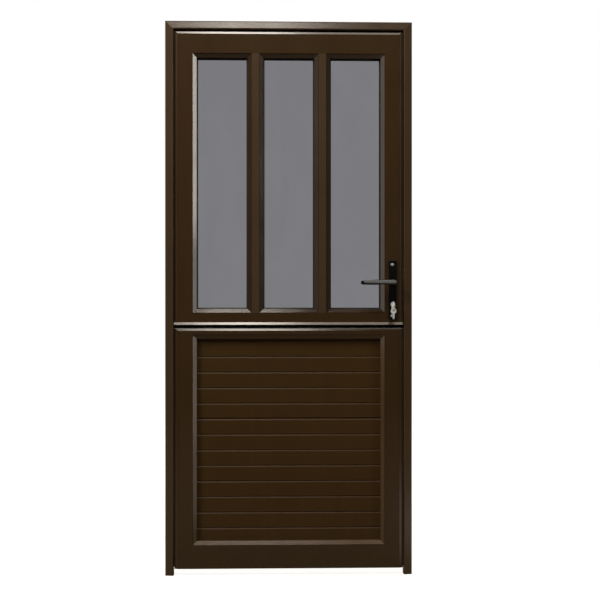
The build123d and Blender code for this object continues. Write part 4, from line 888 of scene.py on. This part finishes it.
class DOOR_OT_set_stage(bpy.types.Operator):
    """Set the floor, the lights, the room and the camera."""

    bl_idname = "stable_door.set_stage"
    bl_label = "Set Stage"

    # Floor in metres: half its side, and where its white sets in away from, behind and beside the door
    floor_half = 12.0
    away_distances = (1.2, 3.0)
    behind_depths = (0.05, 0.4)
    beside_reaches = (0.55, 0.8)
    beside_middle = 0.75
    beside_halves = (0.9, 0.7)

    # Rearward share of a direction over which the sky turns white for reflections
    sky_shares = (0.0, 0.3)

    def execute(self, context):
        settings = context.scene.door_stage
        context.scene.view_settings.view_transform = "Standard"
        self.lay_floor(context, settings)
        self.light_room(context, settings)
        for name, (power, place, target, size) in LAMPS.items():
            self.hang(name, getattr(settings, power), place, target, size, context)
        self.stand_camera(context, settings)
        return {"FINISHED"}

    def lay_floor(self, context, settings):
        """One level square under the door."""
        side = np.array([-self.floor_half, self.floor_half])
        corners = np.stack(np.broadcast_arrays(side[:, None], side, 0.0), axis=-1).reshape(-1, 3)
        mesh = bpy.data.meshes.new("studio_floor")
        mesh.from_pydata(corners.tolist(), [], [[0, 2, 3, 1]])
        mesh.materials.append(self.floor_material(settings))
        floor = bpy.data.objects.new("studio_floor", mesh)
        context.scene.collection.objects.link(floor)

    def floor_material(self, settings):
        """Pale matt floor that adds white for the lens and for what glass lets through, all of it far from
        the door, and for reflections behind the door and at its lock side."""
        material, tree, surface = new_material("floor_pale")
        toned = vary_colour(tree, noise(tree, "floor"), settings.floor_colour, FLOOR_LEVEL_SHARES)
        tree.links.new(toned, surface.inputs["Base Color"])
        surface.inputs["Roughness"].default_value = settings.floor_roughness
        surface.inputs["Specular IOR Level"].default_value = settings.floor_shine
        place = own_place(tree)
        away = add_node(tree, "ShaderNodeVectorMath", {0: place}, operation="LENGTH").outputs["Value"]
        across, depth, _ = parts_of(tree, place)
        lens_white = spread(tree, away, *self.away_distances, settings.floor_glow, 1.0)
        behind = spread(tree, depth, *self.behind_depths, 0.0, settings.mirror_glow)
        beside = spread(tree, across, *self.beside_reaches, 0.0, settings.side_glow)
        aside = math_node(tree, "ABSOLUTE", math_node(tree, "ADD", depth, self.beside_middle))
        near = spread(tree, aside, *self.beside_halves)
        mirror_white = math_node(tree, "MAXIMUM", behind, math_node(tree, "MULTIPLY", beside, near))
        rays = add_node(tree, "ShaderNodeLightPath").outputs
        white = self.seen_white(tree, rays, lens_white, mirror_white)
        surface.inputs["Emission Color"].default_value = (*WHITE, 1.0)
        tree.links.new(white, surface.inputs["Emission Strength"])
        return material

    def seen_white(self, tree, rays, lens_white, mirror_white):
        """White for the lens and through glass, or for reflections, by the kind of ray."""
        lens_rays = math_node(tree, "ADD", rays["Is Camera Ray"], rays["Is Transmission Ray"], True)
        return math_node(
            tree, "MAXIMUM", math_node(tree, "MULTIPLY", lens_rays, lens_white),
            math_node(tree, "MULTIPLY", rays["Is Glossy Ray"], mirror_white),
        )

    def light_room(self, context, settings):
        """Even grey light from all round, under a sky that is white for the lens, through glass and, behind
        the door, for reflections."""
        world = bpy.data.worlds.new("studio_room")
        world.use_nodes = True
        tree = world.node_tree
        rays = add_node(tree, "ShaderNodeLightPath").outputs
        rearward = parts_of(tree, add_node(tree, "ShaderNodeTexCoord").outputs["Generated"])[1]
        mirror_white = spread(tree, rearward, *self.sky_shares, 0.0, settings.mirror_glow)
        white = self.seen_white(tree, rays, 1.0, mirror_white)
        background = tree.nodes["Background"]
        tree.links.new(mix_colours(tree, white, settings.room_colour, WHITE), background.inputs["Color"])
        background.inputs["Strength"].default_value = 1.0
        context.scene.world = world

    def hang(self, name, power, place, target, size, context):
        """One area light that looks at a point."""
        light = bpy.data.lights.new(name, "AREA")
        light.shape = "RECTANGLE"
        light.size, light.size_y = size
        light.energy = power
        lamp = bpy.data.objects.new(name, light)
        lamp.location = place
        lamp.rotation_euler = (Vector(target) - Vector(place)).to_track_quat("-Z", "Y").to_euler()
        context.scene.collection.objects.link(lamp)

    def stand_camera(self, context, settings):
        """A camera turned a little towards the lock side."""
        lens = bpy.data.cameras.new("front_camera")
        lens.lens = settings.focal_length
        camera = bpy.data.objects.new("front_camera", lens)
        camera.location = settings.camera_place
        yaw, pitch = settings.camera_yaw, settings.camera_pitch
        ahead = Vector((math.sin(yaw), math.cos(yaw), math.tan(pitch)))
        camera.rotation_euler = ahead.to_track_quat("-Z", "Y").to_euler()
        context.scene.collection.objects.link(camera)
        context.scene.camera = camera


OPERATORS = (
    DOOR_OT_coat_frame, DOOR_OT_coat_leaves, DOOR_OT_glaze, DOOR_OT_finish_ironmongery,
    DOOR_OT_make_screws, DOOR_OT_wind_ring, DOOR_OT_set_stage,
)

SETTINGS = {
    "door_coats": CoatSettings,
    "door_metals": MetalSettings,
    "door_glazing": GlazingSettings,
    "door_fixings": FixingSettings,
    "door_stage": StageSettings,
}


class DOOR_PT_finishes(bpy.types.Panel):
    """Buttons and settings for the door's finishes."""

    bl_idname = "DOOR_PT_finishes"
    bl_label = "Stable Door"
    bl_space_type = "VIEW_3D"
    bl_region_type = "UI"
    bl_category = "Stable Door"

    def draw(self, context):
        column = self.layout.column()
        for operator in OPERATORS:
            column.operator(operator.bl_idname)
        for setting in SETTINGS:
            group = getattr(context.scene, setting)
            for name in group.__annotations__:
                column.prop(group, name)


def register():
    """Registers the settings, the operators and the panel."""
    for name, group in SETTINGS.items():
        bpy.utils.register_class(group)
        setattr(bpy.types.Scene, name, PointerProperty(type=group))
    for operator in OPERATORS:
        bpy.utils.register_class(operator)
    bpy.utils.register_class(DOOR_PT_finishes)


def unregister():
    """Takes the panel, the operators and the settings away again."""
    bpy.utils.unregister_class(DOOR_PT_finishes)
    for operator in reversed(OPERATORS):
        bpy.utils.unregister_class(operator)
    for name, group in SETTINGS.items():
        delattr(bpy.types.Scene, name)
        bpy.utils.unregister_class(group)


def main():
    """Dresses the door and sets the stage."""
    register()
    bpy.ops.stable_door.coat_frame()
    bpy.ops.stable_door.coat_leaves()
    bpy.ops.stable_door.glaze()
    bpy.ops.stable_door.finish_ironmongery()
    bpy.ops.stable_door.make_screws()
    bpy.ops.stable_door.wind_ring()
    bpy.ops.stable_door.set_stage()


if __name__ == "__main__":
    main()
